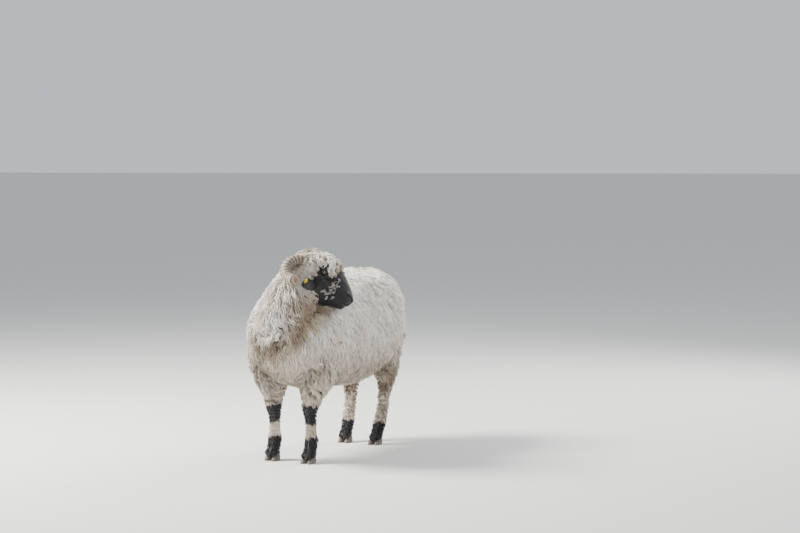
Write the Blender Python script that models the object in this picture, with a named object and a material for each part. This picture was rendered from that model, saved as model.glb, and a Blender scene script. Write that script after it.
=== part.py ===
"""A horned, black-nosed mountain sheep standing square with its head turned over its left shoulder, at
life size.

Metres, +Z up. The sheep faces -Y, its left side is +X and its claws stand on Z = 0. Each limb of flesh is
a loft of skin sections. The coat stands on the skin: its core is a share of the coat's depth, and locks
grow from the core out to the tips.
"""

import math
import random

import bmesh
import bpy
import numpy as np
from mathutils import Matrix, Vector

CLEARANCE = 0.0004
WELD = 0.00003
SHARP_ANGLE = math.radians(40)
SEED = 11

# The core under the locks reaches this share of the coat's depth. A coat too short for locks is all
# core, and between the two depths the share changes evenly.
CORE_SHARE = 0.5
SHORT_COAT = 0.016
LONG_COAT = 0.030

# A lock lies along the coat in rings: how far along it each is, the height of its middle and its half
# thickness as shares of the coat's depth, and its half width as a share of the lock's.
LOCK_RINGS = (
    (0.00, 0.26, 0.20, 0.62),
    (0.34, 0.62, 0.38, 1.00),
    (0.72, 0.72, 0.27, 0.66),
)
LOCK_TIP = 0.84
# A lock's section as an arch whose edges sink into the core, in half widths across and half thicknesses up.
LOCK_ARCH = ((1.00, -1.00), (0.50, 0.85), (-0.50, 0.85), (-1.00, -1.00))

# Where the middle of the four feet lies, so that the whole sheep is centred on the origin.
STANCE = np.array([-0.012, -0.042, 0.0])

# The head: where its axis starts inside the skull, the way it is turned from -Y towards +X, and its nod.
SKULL_ROOT = np.array([0.065, -0.326, 0.803])
HEAD_TURN = math.radians(112)
HEAD_NOD = math.radians(32)

# Skin sections of the torso: y, back, belly, half width, coat depth.
TORSO_ROWS = (
    (-0.430, 0.585, 0.475, 0.060, 0.052),
    (-0.370, 0.650, 0.410, 0.128, 0.056),
    (-0.290, 0.696, 0.368, 0.168, 0.056),
    (-0.190, 0.722, 0.350, 0.176, 0.056),
    (-0.060, 0.730, 0.342, 0.180, 0.060),
    (0.070, 0.728, 0.340, 0.184, 0.060),
    (0.190, 0.737, 0.360, 0.180, 0.060),
    (0.300, 0.742, 0.400, 0.149, 0.060),
    (0.385, 0.720, 0.455, 0.110, 0.056),
    (0.435, 0.672, 0.530, 0.066, 0.052),
)
# Neck sections along its bent axis: x, y, z, half across, half front to back, coat depth.
NECK_ROWS = (
    (0.000, -0.270, 0.480, 0.125, 0.120, 0.050),
    (0.000, -0.305, 0.550, 0.118, 0.132, 0.056),
    (0.006, -0.336, 0.615, 0.092, 0.110, 0.056),
    (0.026, -0.350, 0.685, 0.072, 0.082, 0.052),
    (0.046, -0.342, 0.745, 0.060, 0.062, 0.042),
    (0.058, -0.332, 0.795, 0.050, 0.050, 0.034),
)
# Leg sections, left side: x, y, z, half across, half towards the front, half towards the back, coat depth.
FORELEG_ROWS = (
    (0.096, -0.285, 0.560, 0.050, 0.070, 0.070, 0.020),
    (0.106, -0.286, 0.455, 0.054, 0.080, 0.084, 0.054),
    (0.096, -0.298, 0.350, 0.037, 0.047, 0.050, 0.050),
    (0.088, -0.308, 0.275, 0.027, 0.030, 0.031, 0.024),
    (0.086, -0.312, 0.225, 0.027, 0.030, 0.028, 0.006),
    (0.085, -0.307, 0.175, 0.019, 0.020, 0.022, 0.006),
    (0.085, -0.305, 0.130, 0.016, 0.018, 0.019, 0.009),
    (0.085, -0.303, 0.088, 0.022, 0.023, 0.026, 0.009),
    (0.085, -0.314, 0.058, 0.021, 0.020, 0.024, 0.009),
    (0.085, -0.322, 0.034, 0.027, 0.030, 0.028, 0.006),
)
HINDLEG_ROWS = (
    (0.080, 0.270, 0.600, 0.050, 0.080, 0.080, 0.020),
    (0.094, 0.272, 0.510, 0.054, 0.100, 0.094, 0.044),
    (0.102, 0.274, 0.415, 0.044, 0.084, 0.078, 0.044),
    (0.100, 0.312, 0.345, 0.036, 0.050, 0.052, 0.034),
    (0.088, 0.345, 0.280, 0.023, 0.030, 0.038, 0.020),
    (0.084, 0.342, 0.220, 0.017, 0.020, 0.024, 0.016),
    (0.082, 0.324, 0.150, 0.015, 0.018, 0.020, 0.015),
    (0.080, 0.304, 0.092, 0.021, 0.022, 0.025, 0.011),
    (0.080, 0.286, 0.058, 0.020, 0.019, 0.023, 0.009),
    (0.080, 0.274, 0.034, 0.026, 0.029, 0.027, 0.006),
)
# Locks on each mass: spacing along the lie and across it, length, half width, where along the mass they
# lie, lie.
TORSO_LOCKS = (0.172, 0.108, 0.240, 0.070, 0.01, 0.99, (0.0, 0.40, -1.0))
NECK_LOCKS = (0.145, 0.102, 0.195, 0.066, 0.02, 0.97, (0.0, 0.15, -1.0))
FORELEG_LOCKS = (0.110, 0.080, 0.140, 0.048, 0.10, 0.46, (0.0, 0.0, -1.0))
HINDLEG_LOCKS = (0.120, 0.090, 0.150, 0.052, 0.10, 0.50, (0.0, 0.25, -1.0))
TAIL_LOCKS = (0.085, 0.070, 0.110, 0.036, 0.10, 0.90, (0.0, 0.10, -1.0))
CROWN_LOCKS = (0.064, 0.042, 0.090, 0.034, 0.04, 0.70, (1.0, 0.0, 0.15))
# How many spots are tried on each mass. A spot is left out this far inside another mass, as a share of
# that mass, or where the mass ends before this share of a lock's length.
LOCK_TRIES = 1500
HIDDEN = 0.90
SHORTEST = 0.70
# The lock's root lies this share of its length behind its spot.
LOCK_BEHIND = 0.45
DEWCLAW_RADIUS = 0.008
DEWCLAW_HEIGHT = 0.066

# How far each foot stands from the left one's mirror image: forward and across.
RIGHT_HIND_STEP = np.array([-0.006, 0.010])
RIGHT_FORE_STEP = np.array([0.0, -0.006])

# The coat's depth on the inner side of a leg, as a share of its depth elsewhere.
INNER_COAT = 0.30

# Tail sections: x, y, z, half across, half thick, coat depth.
TAIL_ROWS = (
    (0.000, 0.455, 0.655, 0.022, 0.016, 0.030),
    (0.010, 0.505, 0.610, 0.018, 0.014, 0.034),
    (0.030, 0.530, 0.545, 0.015, 0.012, 0.036),
    (0.042, 0.532, 0.475, 0.011, 0.009, 0.032),
    (0.044, 0.520, 0.425, 0.007, 0.006, 0.024),
)
# Head sections along the skull's axis: distance, top, underside, half width, how far the section draws
# in at the crown and at the jaw, depth of the fur.
HEAD_ROWS = (
    (-0.050, 0.020, -0.045, 0.034, 0.10, 0.10, 0.004),
    (-0.030, 0.050, -0.068, 0.054, 0.12, 0.15, 0.004),
    (0.005, 0.072, -0.080, 0.064, 0.16, 0.28, 0.004),
    (0.040, 0.084, -0.086, 0.069, 0.18, 0.40, 0.004),
    (0.075, 0.092, -0.088, 0.070, 0.20, 0.48, 0.004),
    (0.110, 0.096, -0.084, 0.062, 0.30, 0.50, 0.004),
    (0.135, 0.091, -0.072, 0.053, 0.40, 0.46, 0.003),
    (0.160, 0.076, -0.061, 0.046, 0.44, 0.40, 0.003),
    (0.190, 0.056, -0.053, 0.043, 0.42, 0.34, 0.003),
    (0.212, 0.040, -0.047, 0.041, 0.38, 0.30, 0.002),
    (0.228, 0.025, -0.041, 0.035, 0.34, 0.28, 0.002),
    (0.238, 0.010, -0.030, 0.022, 0.30, 0.28, 0.002),
)
# Wool on the crown and under the jaw: distance along the skull's axis, depth on the crown, depth under
# the jaw.
HEAD_WOOL = (
    (-0.050, 0.034, 0.030),
    (0.000, 0.046, 0.034),
    (0.045, 0.044, 0.034),
    (0.080, 0.036, 0.030),
    (0.110, 0.022, 0.022),
    (0.140, 0.000, 0.010),
    (0.165, 0.000, 0.000),
    (0.240, 0.000, 0.000),
)
# The piece of space of the topknot, in the head's axes: from its back, right and lower corner to the
# opposite one.
CROWN_FROM = (-0.046, -0.160, 0.046)
CROWN_TO = (0.240, 0.160, 0.240)
# The cut across the base of the neck: a point on it and its direction, towards the neck.
NECK_CUT = ((0.0, -0.310, 0.600), (0.0, -0.800, 0.600))
# How far a leg's or the tail's piece reaches past its own coat, and where the legs and the tail are cut
# from the body.
CELL_MARGIN = 0.026
FORELEG_CUT = 0.395
HINDLEG_CUT = 0.395
TAIL_CUT = 0.625

# The boxes, before the sheep is centred, that hold every mass and lock of a node.
LEG_BOXES = {
    "foreleg_left": ((-0.04, -0.47, 0.0), (0.30, -0.12, 0.44)),
    "foreleg_right": ((-0.30, -0.47, 0.0), (0.04, -0.12, 0.44)),
    "hindleg_left": ((-0.04, 0.10, 0.0), (0.30, 0.48, 0.44)),
    "hindleg_right": ((-0.30, 0.10, 0.0), (0.04, 0.48, 0.44)),
}
TAIL_BOX = ((-0.12, 0.38, 0.30), (0.14, 0.65, 0.72))
HEAD_BOX = ((-0.02, -0.46, 0.74), (0.27, -0.20, 1.0))
TORSO_BOX = ((-0.40, -0.56, 0.20), (0.40, 0.60, 0.90))
NECK_BOX = ((-0.40, -0.65, 0.28), (0.40, -0.04, 1.0))

EYE_AT = (0.078, 0.0505, 0.054)
EYE_RADIUS = 0.0135
LID_THICKNESS = 0.0030
LID_HALF_LENGTH = 0.0128
LID_HALF_HEIGHT = 0.0075

MOUTH_HEIGHT = -0.017
MOUTH_CORNER = 0.180
MOUTH_GROOVE = 0.0022
NOSTRIL_BACK = (0.209, 0.036, 0.023)
NOSTRIL_FRONT = (0.233, 0.016, 0.008)
NOSTRIL_RADIUS = 0.0036

HORN_RADIUS = 0.027
HORN_TIP_RADIUS = 0.026
HORN_COIL = 0.043
HORN_COIL_CENTRE = (-0.022, -0.002)
HORN_FROM = math.radians(50)
HORN_TO = math.radians(318)
HORN_INNER = 0.030
HORN_OUTER = 0.152
HORN_RIDGES = 6

EAR_LENGTH = 0.112
EAR_WIDTH = 0.062
EAR_WALL = 0.0050
EAR_CUP = 0.016
EAR_ROOT = (0.050, 0.058, 0.004)

TAG_BELOW = 0.010
TAG_ABOVE = 0.020
TAG_WIDTH = 0.0110
TAG_WALL = 0.0022
TAG_STUD_RADIUS = 0.0034
TAG_ALONG = 0.55
TAG_OVER = 0.62

CLAW_LENGTH = 0.058
CLAW_WIDTH = 0.027
CLAW_HEIGHT = 0.034
CLAW_SPREAD = 0.0145

FLEECE = ("fleece", (0.80, 0.76, 0.68), 0.95)
FACE = ("black_face", (0.022, 0.021, 0.023), 0.75)
HORN = ("horn", (0.42, 0.34, 0.26), 0.55)
EYE = ("eye", (0.06, 0.035, 0.015), 0.10)
CLAW = ("claw", (0.17, 0.15, 0.14), 0.60)
TAG = ("ear_tag", (0.80, 0.74, 0.12), 0.45)


def clear_scene():
    """Removes every object of the startup scene."""
    for obj in list(bpy.data.objects):
        bpy.data.objects.remove(obj)


def material(finish):
    """The material of a finish, made once."""
    name, colour, roughness = finish
    found = bpy.data.materials.get(name)
    if found:
        return found
    made = bpy.data.materials.new(name)
    made.use_nodes = True
    shader = made.node_tree.nodes["Principled BSDF"]
    shader.inputs["Base Color"].default_value = (*colour, 1.0)
    shader.inputs["Roughness"].default_value = roughness
    shader.inputs["Metallic"].default_value = 0.0
    made.diffuse_color = (*colour, 1.0)
    return made


def smooth_rows(rows, count):
    """The rows read at an even count of places on a Catmull-Rom curve through them."""
    rows = np.asarray(rows, float)
    last = len(rows) - 1
    padded = np.vstack([2 * rows[0] - rows[1], rows, 2 * rows[-1] - rows[-2]])
    place = np.linspace(0, last, count)
    index = np.minimum(place.astype(int), last - 1)
    t = (place - index)[:, None]
    before, start, end, after = (padded[index + k] for k in range(4))
    return 0.5 * (
        2 * start
        + (end - before) * t
        + (2 * before - 5 * start + 4 * end - after) * t**2
        + (3 * start - before - 3 * end + after) * t**3
    )


def unit(vectors):
    """The vectors at length 1."""
    length = np.linalg.norm(vectors, axis=-1, keepdims=True)
    return vectors / np.maximum(length, 1e-12)


def signed_volume(points, faces):
    """Six times the volume that the faces enclose, positive when they face out."""
    total = 0.0
    for face in faces:
        a = points[face[0]]
        for b, c in zip(face[1:-1], face[2:]):
            total += np.dot(a, np.cross(points[b], points[c]))
    return total


def tube_mesh(name, rings, start_pole, end_pole):
    """A closed mesh over rings of points, each end drawn to its pole."""
    count, sides = rings.shape[:2]
    points = np.vstack([start_pole[None], rings.reshape(-1, 3), end_pole[None]])
    faces = []
    for ring in range(count - 1):
        low, high = 1 + ring * sides, 1 + (ring + 1) * sides
        for k in range(sides):
            after = (k + 1) % sides
            faces.append((low + k, low + after, high + after))
            faces.append((low + k, high + after, high + k))
    end = len(points) - 1
    final = 1 + (count - 1) * sides
    for k in range(sides):
        after = (k + 1) % sides
        faces.append((0, 1 + after, 1 + k))
        faces.append((end, final + k, final + after))
    if signed_volume(points, faces) < 0:
        faces = [face[::-1] for face in faces]
    mesh = bpy.data.meshes.new(name)
    mesh.from_pydata(points.tolist(), [], faces)
    mesh.update()
    return mesh


def new_object(name, mesh, finish):
    """An object with that mesh and finish in the scene."""
    obj = bpy.data.objects.new(name, mesh)
    mesh.materials.clear()
    mesh.materials.append(material(finish))
    bpy.context.scene.collection.objects.link(obj)
    return obj


def closed_parts(mesh):
    """For each face the number of the closed surface that it is on: two faces alone on an edge are joined."""
    root = list(range(len(mesh.polygons)))

    def find(k):
        while root[k] != k:
            root[k] = root[root[k]]
            k = root[k]
        return k

    beside = {}
    for polygon in mesh.polygons:
        for edge in polygon.edge_keys:
            beside.setdefault(edge, []).append(polygon.index)
    for faces in beside.values():
        if len(faces) == 2:
            root[find(faces[0])] = find(faces[1])
    return [find(k) for k in range(len(root))]


def keep_largest(obj):
    """Drops every closed surface but the one that holds most, so that scraps and sealed hollows go."""
    mesh = obj.data
    part_of = closed_parts(mesh)
    if len(set(part_of)) == 1:
        return
    points = np.array([v.co for v in mesh.vertices])
    members = {}
    for polygon in mesh.polygons:
        members.setdefault(part_of[polygon.index], []).append(tuple(polygon.vertices))
    best = max(members, key=lambda part: signed_volume(points, members[part]))
    used = sorted({v for face in members[best] for v in face})
    renumbered = {v: k for k, v in enumerate(used)}
    faces = [[renumbered[v] for v in face] for face in members[best]]
    kept = bpy.data.meshes.new(obj.name)
    kept.from_pydata(points[used].tolist(), [], faces)
    for slot in mesh.materials:
        kept.materials.append(slot)
    obj.data = kept
    bpy.data.meshes.remove(mesh)


def tidy(obj):
    """Merges corners that all but touch, unless that would open or pinch the surface, and keeps the one
    body.
    """
    welded = bmesh.new()
    welded.from_mesh(obj.data)
    bmesh.ops.triangulate(welded, faces=welded.faces)
    bmesh.ops.remove_doubles(welded, verts=welded.verts, dist=WELD)
    bmesh.ops.dissolve_degenerate(welded, edges=welded.edges, dist=WELD)
    if all(len(edge.link_faces) == 2 for edge in welded.edges):
        welded.to_mesh(obj.data)
    welded.free()
    keep_largest(obj)


def boolean(obj, pieces, operation):
    """Joins the pieces to obj, or cuts them from it, in one Boolean that is applied. The pieces are then
    removed.
    """
    group = bpy.data.collections.new(obj.name + "_pieces")
    bpy.context.scene.collection.children.link(group)
    for number, mesh in enumerate(pieces):
        group.objects.link(bpy.data.objects.new(f"{obj.name}_piece_{number}", mesh))
    step = obj.modifiers.new("join", "BOOLEAN")
    step.operation = operation
    step.operand_type = "COLLECTION"
    step.collection = group
    step.solver = "MANIFOLD"
    bpy.context.view_layer.update()
    done = bpy.data.meshes.new_from_object(obj.evaluated_get(bpy.context.evaluated_depsgraph_get()))
    obj.modifiers.clear()
    old, obj.data = obj.data, done
    bpy.data.meshes.remove(old)
    for piece in list(group.objects):
        bpy.data.objects.remove(piece)
    bpy.data.collections.remove(group)
    tidy(obj)


def grown(mesh, gap):
    """A copy of the mesh with every face moved out by the gap, as near as each corner's faces allow."""
    copy = mesh.copy()
    facing = [[] for _ in copy.vertices]
    for polygon in copy.polygons:
        for v in polygon.vertices:
            facing[v].append(polygon.normal)
    moved = np.array([v.co for v in copy.vertices])
    for number, normals in enumerate(facing):
        normals = np.array(normals)
        step = np.linalg.lstsq(normals, np.ones(len(normals)), rcond=0.05)[0]
        least = (normals @ step).min()
        if least < 0.25:
            step = unit(normals.mean(axis=0))
            least = max((normals @ step).min(), 0.25)
        step /= min(least, 1.0)
        moved[number] += gap * step * min(1.0, 5.0 / np.linalg.norm(step))
    copy.vertices.foreach_set("co", moved.ravel())
    copy.update()
    return copy


def cut_clear(obj, neighbours):
    """Cuts obj back from its neighbours, so that it meets each of them across the gap."""
    boolean(obj, [grown(other.data, CLEARANCE) for other in neighbours], "DIFFERENCE")


class Loft:
    """Skin sections along a path, and the coat on them.

    A row is the centre, half across, half towards `up`, half away from `up`, coat depth.
    """

    def __init__(self, rows, side, up, follow=False, squareness=0.92, dome=0.45, thin_side=None):
        self.rows = smooth_rows(rows, 160)
        self.thin_side = thin_side
        self.side, self.up = np.array(side, float), np.array(up, float)
        self.follow, self.squareness, self.dome = follow, squareness, dome
        self.tangents = unit(np.gradient(self.rows[:, :3], axis=0))
        self.outward = 1.0
        middle = self.skin(np.array([0.5]), np.array([[0.3]]))
        centre = self.row_at(np.array([0.5]))[0, :3]
        if np.dot(self.normal(np.array([0.5]), np.array([[0.3]]))[0, 0], middle[0, 0] - centre) < 0:
            self.outward = -1.0

    def row_at(self, place):
        """The rows at places from 0 to 1 along the path."""
        steps = np.linspace(0, 1, len(self.rows))
        return np.stack([np.interp(place, steps, column) for column in self.rows.T], axis=-1)

    def frame_at(self, place):
        """The section's side and up directions at each place."""
        across = np.broadcast_to(self.side, (len(place), 3))
        up = np.broadcast_to(self.up, (len(place), 3))
        if not self.follow:
            return across, up
        steps = np.linspace(0, 1, len(self.rows))
        tangent = unit(np.stack([np.interp(place, steps, c) for c in self.tangents.T], axis=-1))
        up = unit(up - (up * tangent).sum(-1, keepdims=True) * tangent)
        return unit(np.cross(up, tangent)), up

    def section(self, row, c, s):
        """The offsets across and up of a section's points."""
        c = np.sign(c) * np.abs(c) ** self.squareness
        s = np.sign(s) * np.abs(s) ** self.squareness
        return row[:, None, 3] * c, np.where(s > 0, row[:, None, 4], row[:, None, 5]) * s

    def skin(self, place, angle):
        """Skin points at places along the path and, for each, a row of angles round it."""
        row = self.row_at(place)
        side, up = self.frame_at(place)
        across, rise = self.section(row, np.cos(angle), np.sin(angle))
        return row[:, None, :3] + across[..., None] * side[:, None] + rise[..., None] * up[:, None]

    def normal(self, place, angle):
        """Outward unit normals of the skin."""
        step = 0.01
        ahead, behind = np.minimum(place + step, 1), np.maximum(place - step, 0)
        along = self.skin(ahead, angle) - self.skin(behind, angle)
        around = self.skin(place, angle + step) - self.skin(place, angle - step)
        return self.outward * unit(np.cross(along, around))

    def depth(self, place, angle):
        """The coat's depth at each point."""
        depth = self.row_at(place)[:, None, -1] + 0 * angle
        if self.thin_side is not None:
            facing = np.maximum(self.normal(place, angle) @ np.array(self.thin_side, float), 0)
            depth = depth * (1 - (1 - INNER_COAT) * facing)
        return depth

    def core_rise(self, place, angle):
        """How high the core stands on the skin at each point."""
        depth = self.depth(place, angle)
        long_share = np.clip((depth - SHORT_COAT) / (LONG_COAT - SHORT_COAT), 0, 1)
        return depth * (1 - (1 - CORE_SHARE) * long_share)

    def raised(self, place, angle, rise):
        """Points at a height on the skin."""
        return self.skin(place, angle) + rise[..., None] * self.normal(place, angle)

    def closed(self, name, place, rise, start_flat=False):
        """The closed surface through rings at those heights on the skin, domed at its ends or flat where
        it starts.
        """
        angle = np.broadcast_to(np.arange(rise.shape[1]) / rise.shape[1] * 2 * math.pi, rise.shape)
        points = self.raised(place, angle, rise)
        poles = []
        for end, sign, flat in ((0, -1, start_flat), (-1, 1, False)):
            row, tangent = self.row_at(place)[end], sign * self.tangents[end]
            reach = 0 if flat else self.dome * min(row[3], row[4]) + rise[end].mean()
            poles.append(row[:3] + reach * tangent)
        return tube_mesh(name, points, *poles)

    def core(self, name, rings, sides):
        """The rounded mass under the locks."""
        place = np.linspace(0, 1, rings)
        angle = np.broadcast_to(np.arange(sides) / sides * 2 * math.pi, (rings, sides))
        return self.closed(name, place, self.core_rise(place, angle))

    def cell(self, name, rings, sides, start, margin):
        """The space within a margin past the coat's tips, with a flat end where it starts."""
        place = np.linspace(start, 1, rings)
        angle = np.broadcast_to(np.arange(sides) / sides * 2 * math.pi, (rings, sides))
        return self.closed(name, place, self.depth(place, angle) + margin, start_flat=True)

    def place_at_height(self, height):
        """The place along the path that is at that height."""
        return float(np.interp(-height, -self.rows[:, 2], np.linspace(0, 1, len(self.rows))))

    def holds(self, point):
        """Whether the point lies well inside this mass."""
        number = np.argmin(((self.rows[:, :3] - point) ** 2).sum(axis=1))
        row, offset = self.rows[number], point - self.rows[number, :3]
        side, up = self.frame_at(np.array([number / (len(self.rows) - 1)]))
        half = np.array([row[3], row[4] if offset @ up[0] > 0 else row[5], self.dome * row[3]]) + row[-1]
        parts = np.array([offset @ side[0], offset @ up[0], offset @ self.tangents[number]])
        return np.linalg.norm(parts / half) < HIDDEN

    def walk(self, place, angle, lie, distances, bend):
        """The rings' places and angles along a lock that follows the lie and bends to one side."""
        spots, travelled, small = [], 0.0, 0.004
        for distance in distances:
            here = self.skin(np.array([place]), np.array([[angle]]))[0, 0]
            normal = self.normal(np.array([place]), np.array([[angle]]))[0, 0]
            along = self.skin(np.array([min(place + small, 1)]), np.array([[angle]]))[0, 0] - here
            around = self.skin(np.array([place]), np.array([[angle + small]]))[0, 0] - here
            flat = unit(lie - np.dot(lie, normal) * normal)
            flat = unit(flat + bend * distance * np.cross(normal, flat))
            step = (distance - travelled) * flat
            moves = np.linalg.lstsq(np.stack([along, around], axis=1), step, rcond=None)[0]
            place = float(np.clip(place + moves[0] * small, 0.0, 0.999))
            angle += float(np.clip(moves[1] * small, -0.7, 0.7))
            spots.append((place, angle))
            travelled = distance
        return spots

    def lock(self, spot, lie, length, width, lift, bend):
        """One lock: it rises out of the core, lies along the coat, bends and tapers to its tip, or None
        at an end.
        """
        root = self.walk(*spot, -lie, [LOCK_BEHIND * length], 0.0)[0]
        distances = [length * ring[0] for ring in LOCK_RINGS] + [length]
        way = self.walk(*root, lie, distances, bend)
        place, angle = np.array([w[0] for w in way]), np.array([[w[1]] for w in way])
        skin, normal = self.skin(place, angle)[:, 0], self.normal(place, angle)[:, 0]
        if np.linalg.norm(np.diff(skin, axis=0), axis=1).sum() < SHORTEST * length:
            return None
        depth = self.depth(place, angle)[:, 0] * lift
        middle = skin + (depth * np.array([ring[1] for ring in LOCK_RINGS] + [LOCK_TIP]))[:, None] * normal
        tangent = unit(np.gradient(middle, axis=0))
        side = unit(np.cross(normal, tangent))
        rise = np.cross(tangent, side)
        across, up = np.array(LOCK_ARCH).T[:, :, None]
        row = self.row_at(place[:1])[0]
        curve = 0.5 / ((row[3] + row[4] + row[5]) / 3 + depth[0])
        rings = []
        for k, (_, _, thick, wide) in enumerate(LOCK_RINGS):
            aside = width * wide * across
            rings.append(middle[k] + aside * side[k] + (depth[k] * thick * up - curve * aside**2) * rise[k])
        return tube_mesh("lock", np.array(rings), middle[0] - 0.2 * width * tangent[0], middle[-1])

    def lie_at(self, place, angle, lie):
        """The way that the coat falls from a spot: its lie, and on top away from the middle."""
        normal = self.normal(np.array([place]), np.array([[angle]]))[0, 0]
        return np.array(lie) + np.array([1.3 * max(normal[2], 0) * math.copysign(1, normal[0]), 0, 0])

    def locks(self, plan, draw, others, taken):
        """Locks all over the mass, none too near to one that is in `taken` already and none inside
        another mass.
        """
        along, across, length, width, start, stop, lie = plan
        made = []
        for _ in range(LOCK_TRIES):
            spot = (draw.uniform(start, stop), draw.uniform(0, 2 * math.pi))
            place, angle = np.array([spot[0]]), np.array([[spot[1]]])
            depth, normal = self.depth(place, angle)[0, 0], self.normal(place, angle)[0, 0]
            point = self.skin(place, angle)[0, 0] + depth * normal
            falls = self.lie_at(*spot, lie)
            flat = unit(falls - np.dot(falls, normal) * normal)
            if taken:
                away = point - np.array(taken)
                ahead = away @ flat
                aside = (away**2).sum(axis=1) - ahead**2
                if (ahead**2 / along**2 + aside / across**2 < 1).any():
                    continue
            if depth < SHORT_COAT or any(other.holds(point) for other in others):
                continue
            lift, bend = draw.uniform(0.92, 1.10), draw.uniform(-4.0, 4.0)
            size = draw.uniform(0.88, 1.15)
            lock = self.lock(spot, falls, length * size, width * draw.uniform(0.92, 1.12), lift, bend)
            if lock:
                made.append(lock)
                taken.append(point)
        return made


class HeadLoft(Loft):
    """The head's skin in its own axes: X to the nose, Y to its left, Z to its crown."""

    def __init__(self, rows):
        full = [
            (s, 0.0, 0.5 * (top + low), wide, 0.5 * (top - low), 0.5 * (top - low), crown, jaw, fur)
            for s, top, low, wide, crown, jaw, fur in rows
        ]
        super().__init__(full, (0, 1, 0), (0, 0, 1), squareness=0.90, dome=0.20)

    def section(self, row, c, s):
        """The plain section, drawn in towards the crown and towards the jaw."""
        across, rise = super().section(row, c, s)
        drawn_in = np.where(s > 0, row[:, None, 6], row[:, None, 7])
        return across * (1 - drawn_in * s**2), rise


class WoolLoft(HeadLoft):
    """The wool on the head's crown and under its jaw."""

    def depth(self, place, angle):
        """The depth of the crown's and the jaw's wool at each point."""
        along = self.row_at(place)[:, 0]
        steps, crown, jaw = np.array(HEAD_WOOL).T
        height = np.sin(angle)
        on_crown = np.clip((height - 0.55) / 0.30, 0, 1)
        on_jaw = np.clip((-0.30 - height) / 0.45, 0, 1)
        return (
            np.interp(along, steps, crown)[:, None] * on_crown * on_crown * (3 - 2 * on_crown)
            + np.interp(along, steps, jaw)[:, None] * on_jaw * on_jaw * (3 - 2 * on_jaw)
        )

    def core(self, name, rings, sides):
        """The mass of the wool, which dips under the skin where there is none."""
        place = np.linspace(0, 0.86, rings)
        angle = np.broadcast_to(np.arange(sides) / sides * 2 * math.pi, (rings, sides))
        depth = self.depth(place, angle)
        rise = CORE_SHARE * depth - 0.006 * np.clip(1 - depth / 0.010, 0, 1)
        first, last = self.row_at(place[[0, -1]])
        back = first[:3] - (0.3 * first[3] + rise[0].mean()) * np.array([1.0, 0, 0])
        return tube_mesh(name, self.raised(place, angle, rise), back, last[:3])

    def lie_at(self, place, angle, lie):
        """On the crown the wool falls forward and to both sides, under the jaw backward and down."""
        across = math.cos(angle)
        if math.sin(angle) > 0:
            return np.array([0.9, 1.1 * across, 0.2])
        return np.array([-1.0, 0.6 * across, -0.4])


def flat_rows(rows):
    """Loft rows from the torso's: y, back, belly, half width, coat."""
    return [
        (0.0, y, 0.5 * (back + belly), wide, 0.5 * (back - belly), 0.5 * (back - belly), coat)
        for y, back, belly, wide, coat in rows
    ]


def even_rows(rows):
    """Loft rows from the ones that give a single half for front and back."""
    return [(x, y, z, a, b, b, coat) for x, y, z, a, b, coat in rows]


def placed(rows):
    """Rows with their centres moved to where the sheep stands."""
    rows = np.array(rows, float)
    rows[:, :3] += STANCE
    return rows


def leg_rows(rows, mirrored, step):
    """A leg's rows, mirrored for the right side and with its foot stepped off by `step`, forward and
    across.
    """
    rows = np.array(rows, float)
    if mirrored:
        rows[:, 0] *= -1
    foot = 1 - (rows[:, 2] - rows[-1, 2]) / (rows[0, 2] - rows[-1, 2])
    rows[:, 1] += step[0] * foot**2
    rows[:, 0] += step[1] * foot**2
    rows[:, [4, 5]] = rows[:, [5, 4]]
    return placed(rows)


def head_matrix():
    """From the head's own axes to the sheep's."""
    ahead = np.array(
        [
            math.sin(HEAD_TURN) * math.cos(HEAD_NOD),
            -math.cos(HEAD_TURN) * math.cos(HEAD_NOD),
            -math.sin(HEAD_NOD),
        ]
    )
    left = np.array([math.cos(HEAD_TURN), math.sin(HEAD_TURN), 0.0])
    crown = np.cross(ahead, left)
    matrix = np.eye(4)
    matrix[:3, 0], matrix[:3, 1], matrix[:3, 2] = ahead, left, crown
    matrix[:3, 3] = SKULL_ROOT + STANCE
    return Matrix(matrix.tolist())


def put(mesh, matrix):
    """The mesh moved by the matrix, its faces turned out again if the matrix mirrors."""
    mesh.transform(matrix)
    if matrix.determinant() < 0:
        mesh.flip_normals()
    mesh.update()
    return mesh


def tube_along(name, path, radii, sides, up, flatten=1.0):
    """A closed tube along a path, its radius read from `radii`, flattened towards `up`."""
    path, radii = np.asarray(path, float), np.asarray(radii, float)
    tangent = unit(np.gradient(path, axis=0))
    rise = np.broadcast_to(np.asarray(up, float), path.shape)
    rise = unit(rise - (rise * tangent).sum(-1, keepdims=True) * tangent)
    side = np.cross(tangent, rise)
    angle = np.arange(sides) / sides * 2 * math.pi
    rings = (
        path[:, None]
        + radii[:, None, None] * np.cos(angle)[None, :, None] * side[:, None]
        + flatten * radii[:, None, None] * np.sin(angle)[None, :, None] * rise[:, None]
    )
    return tube_mesh(
        name, rings, path[0] - 0.4 * radii[0] * tangent[0], path[-1] + 0.4 * radii[-1] * tangent[-1]
    )


def make_horn(side):
    """A coiled horn: back from the crown, down, then forward and out to a blunt tip."""
    rings, sides = 20, 8
    turn = np.linspace(0, 1, rings)
    angle = HORN_FROM + (HORN_TO - HORN_FROM) * turn
    coil = HORN_COIL * (1 - 0.18 * turn)
    out = HORN_INNER + (HORN_OUTER - HORN_INNER) * turn**1.15
    path = np.stack(
        [
            HORN_COIL_CENTRE[0] + coil * np.cos(angle),
            side * out,
            HORN_COIL_CENTRE[1] + coil * np.sin(angle),
        ],
        axis=-1,
    )
    ridge = 1 + 0.035 * np.abs(np.sin(math.pi * HORN_RIDGES * turn)) * (1 - turn)
    radii = (HORN_RADIUS + (HORN_TIP_RADIUS - HORN_RADIUS) * turn) * ridge
    radii[-1] *= 0.80
    return tube_along("horn", path, radii, sides, (0, side, 0))


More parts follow.
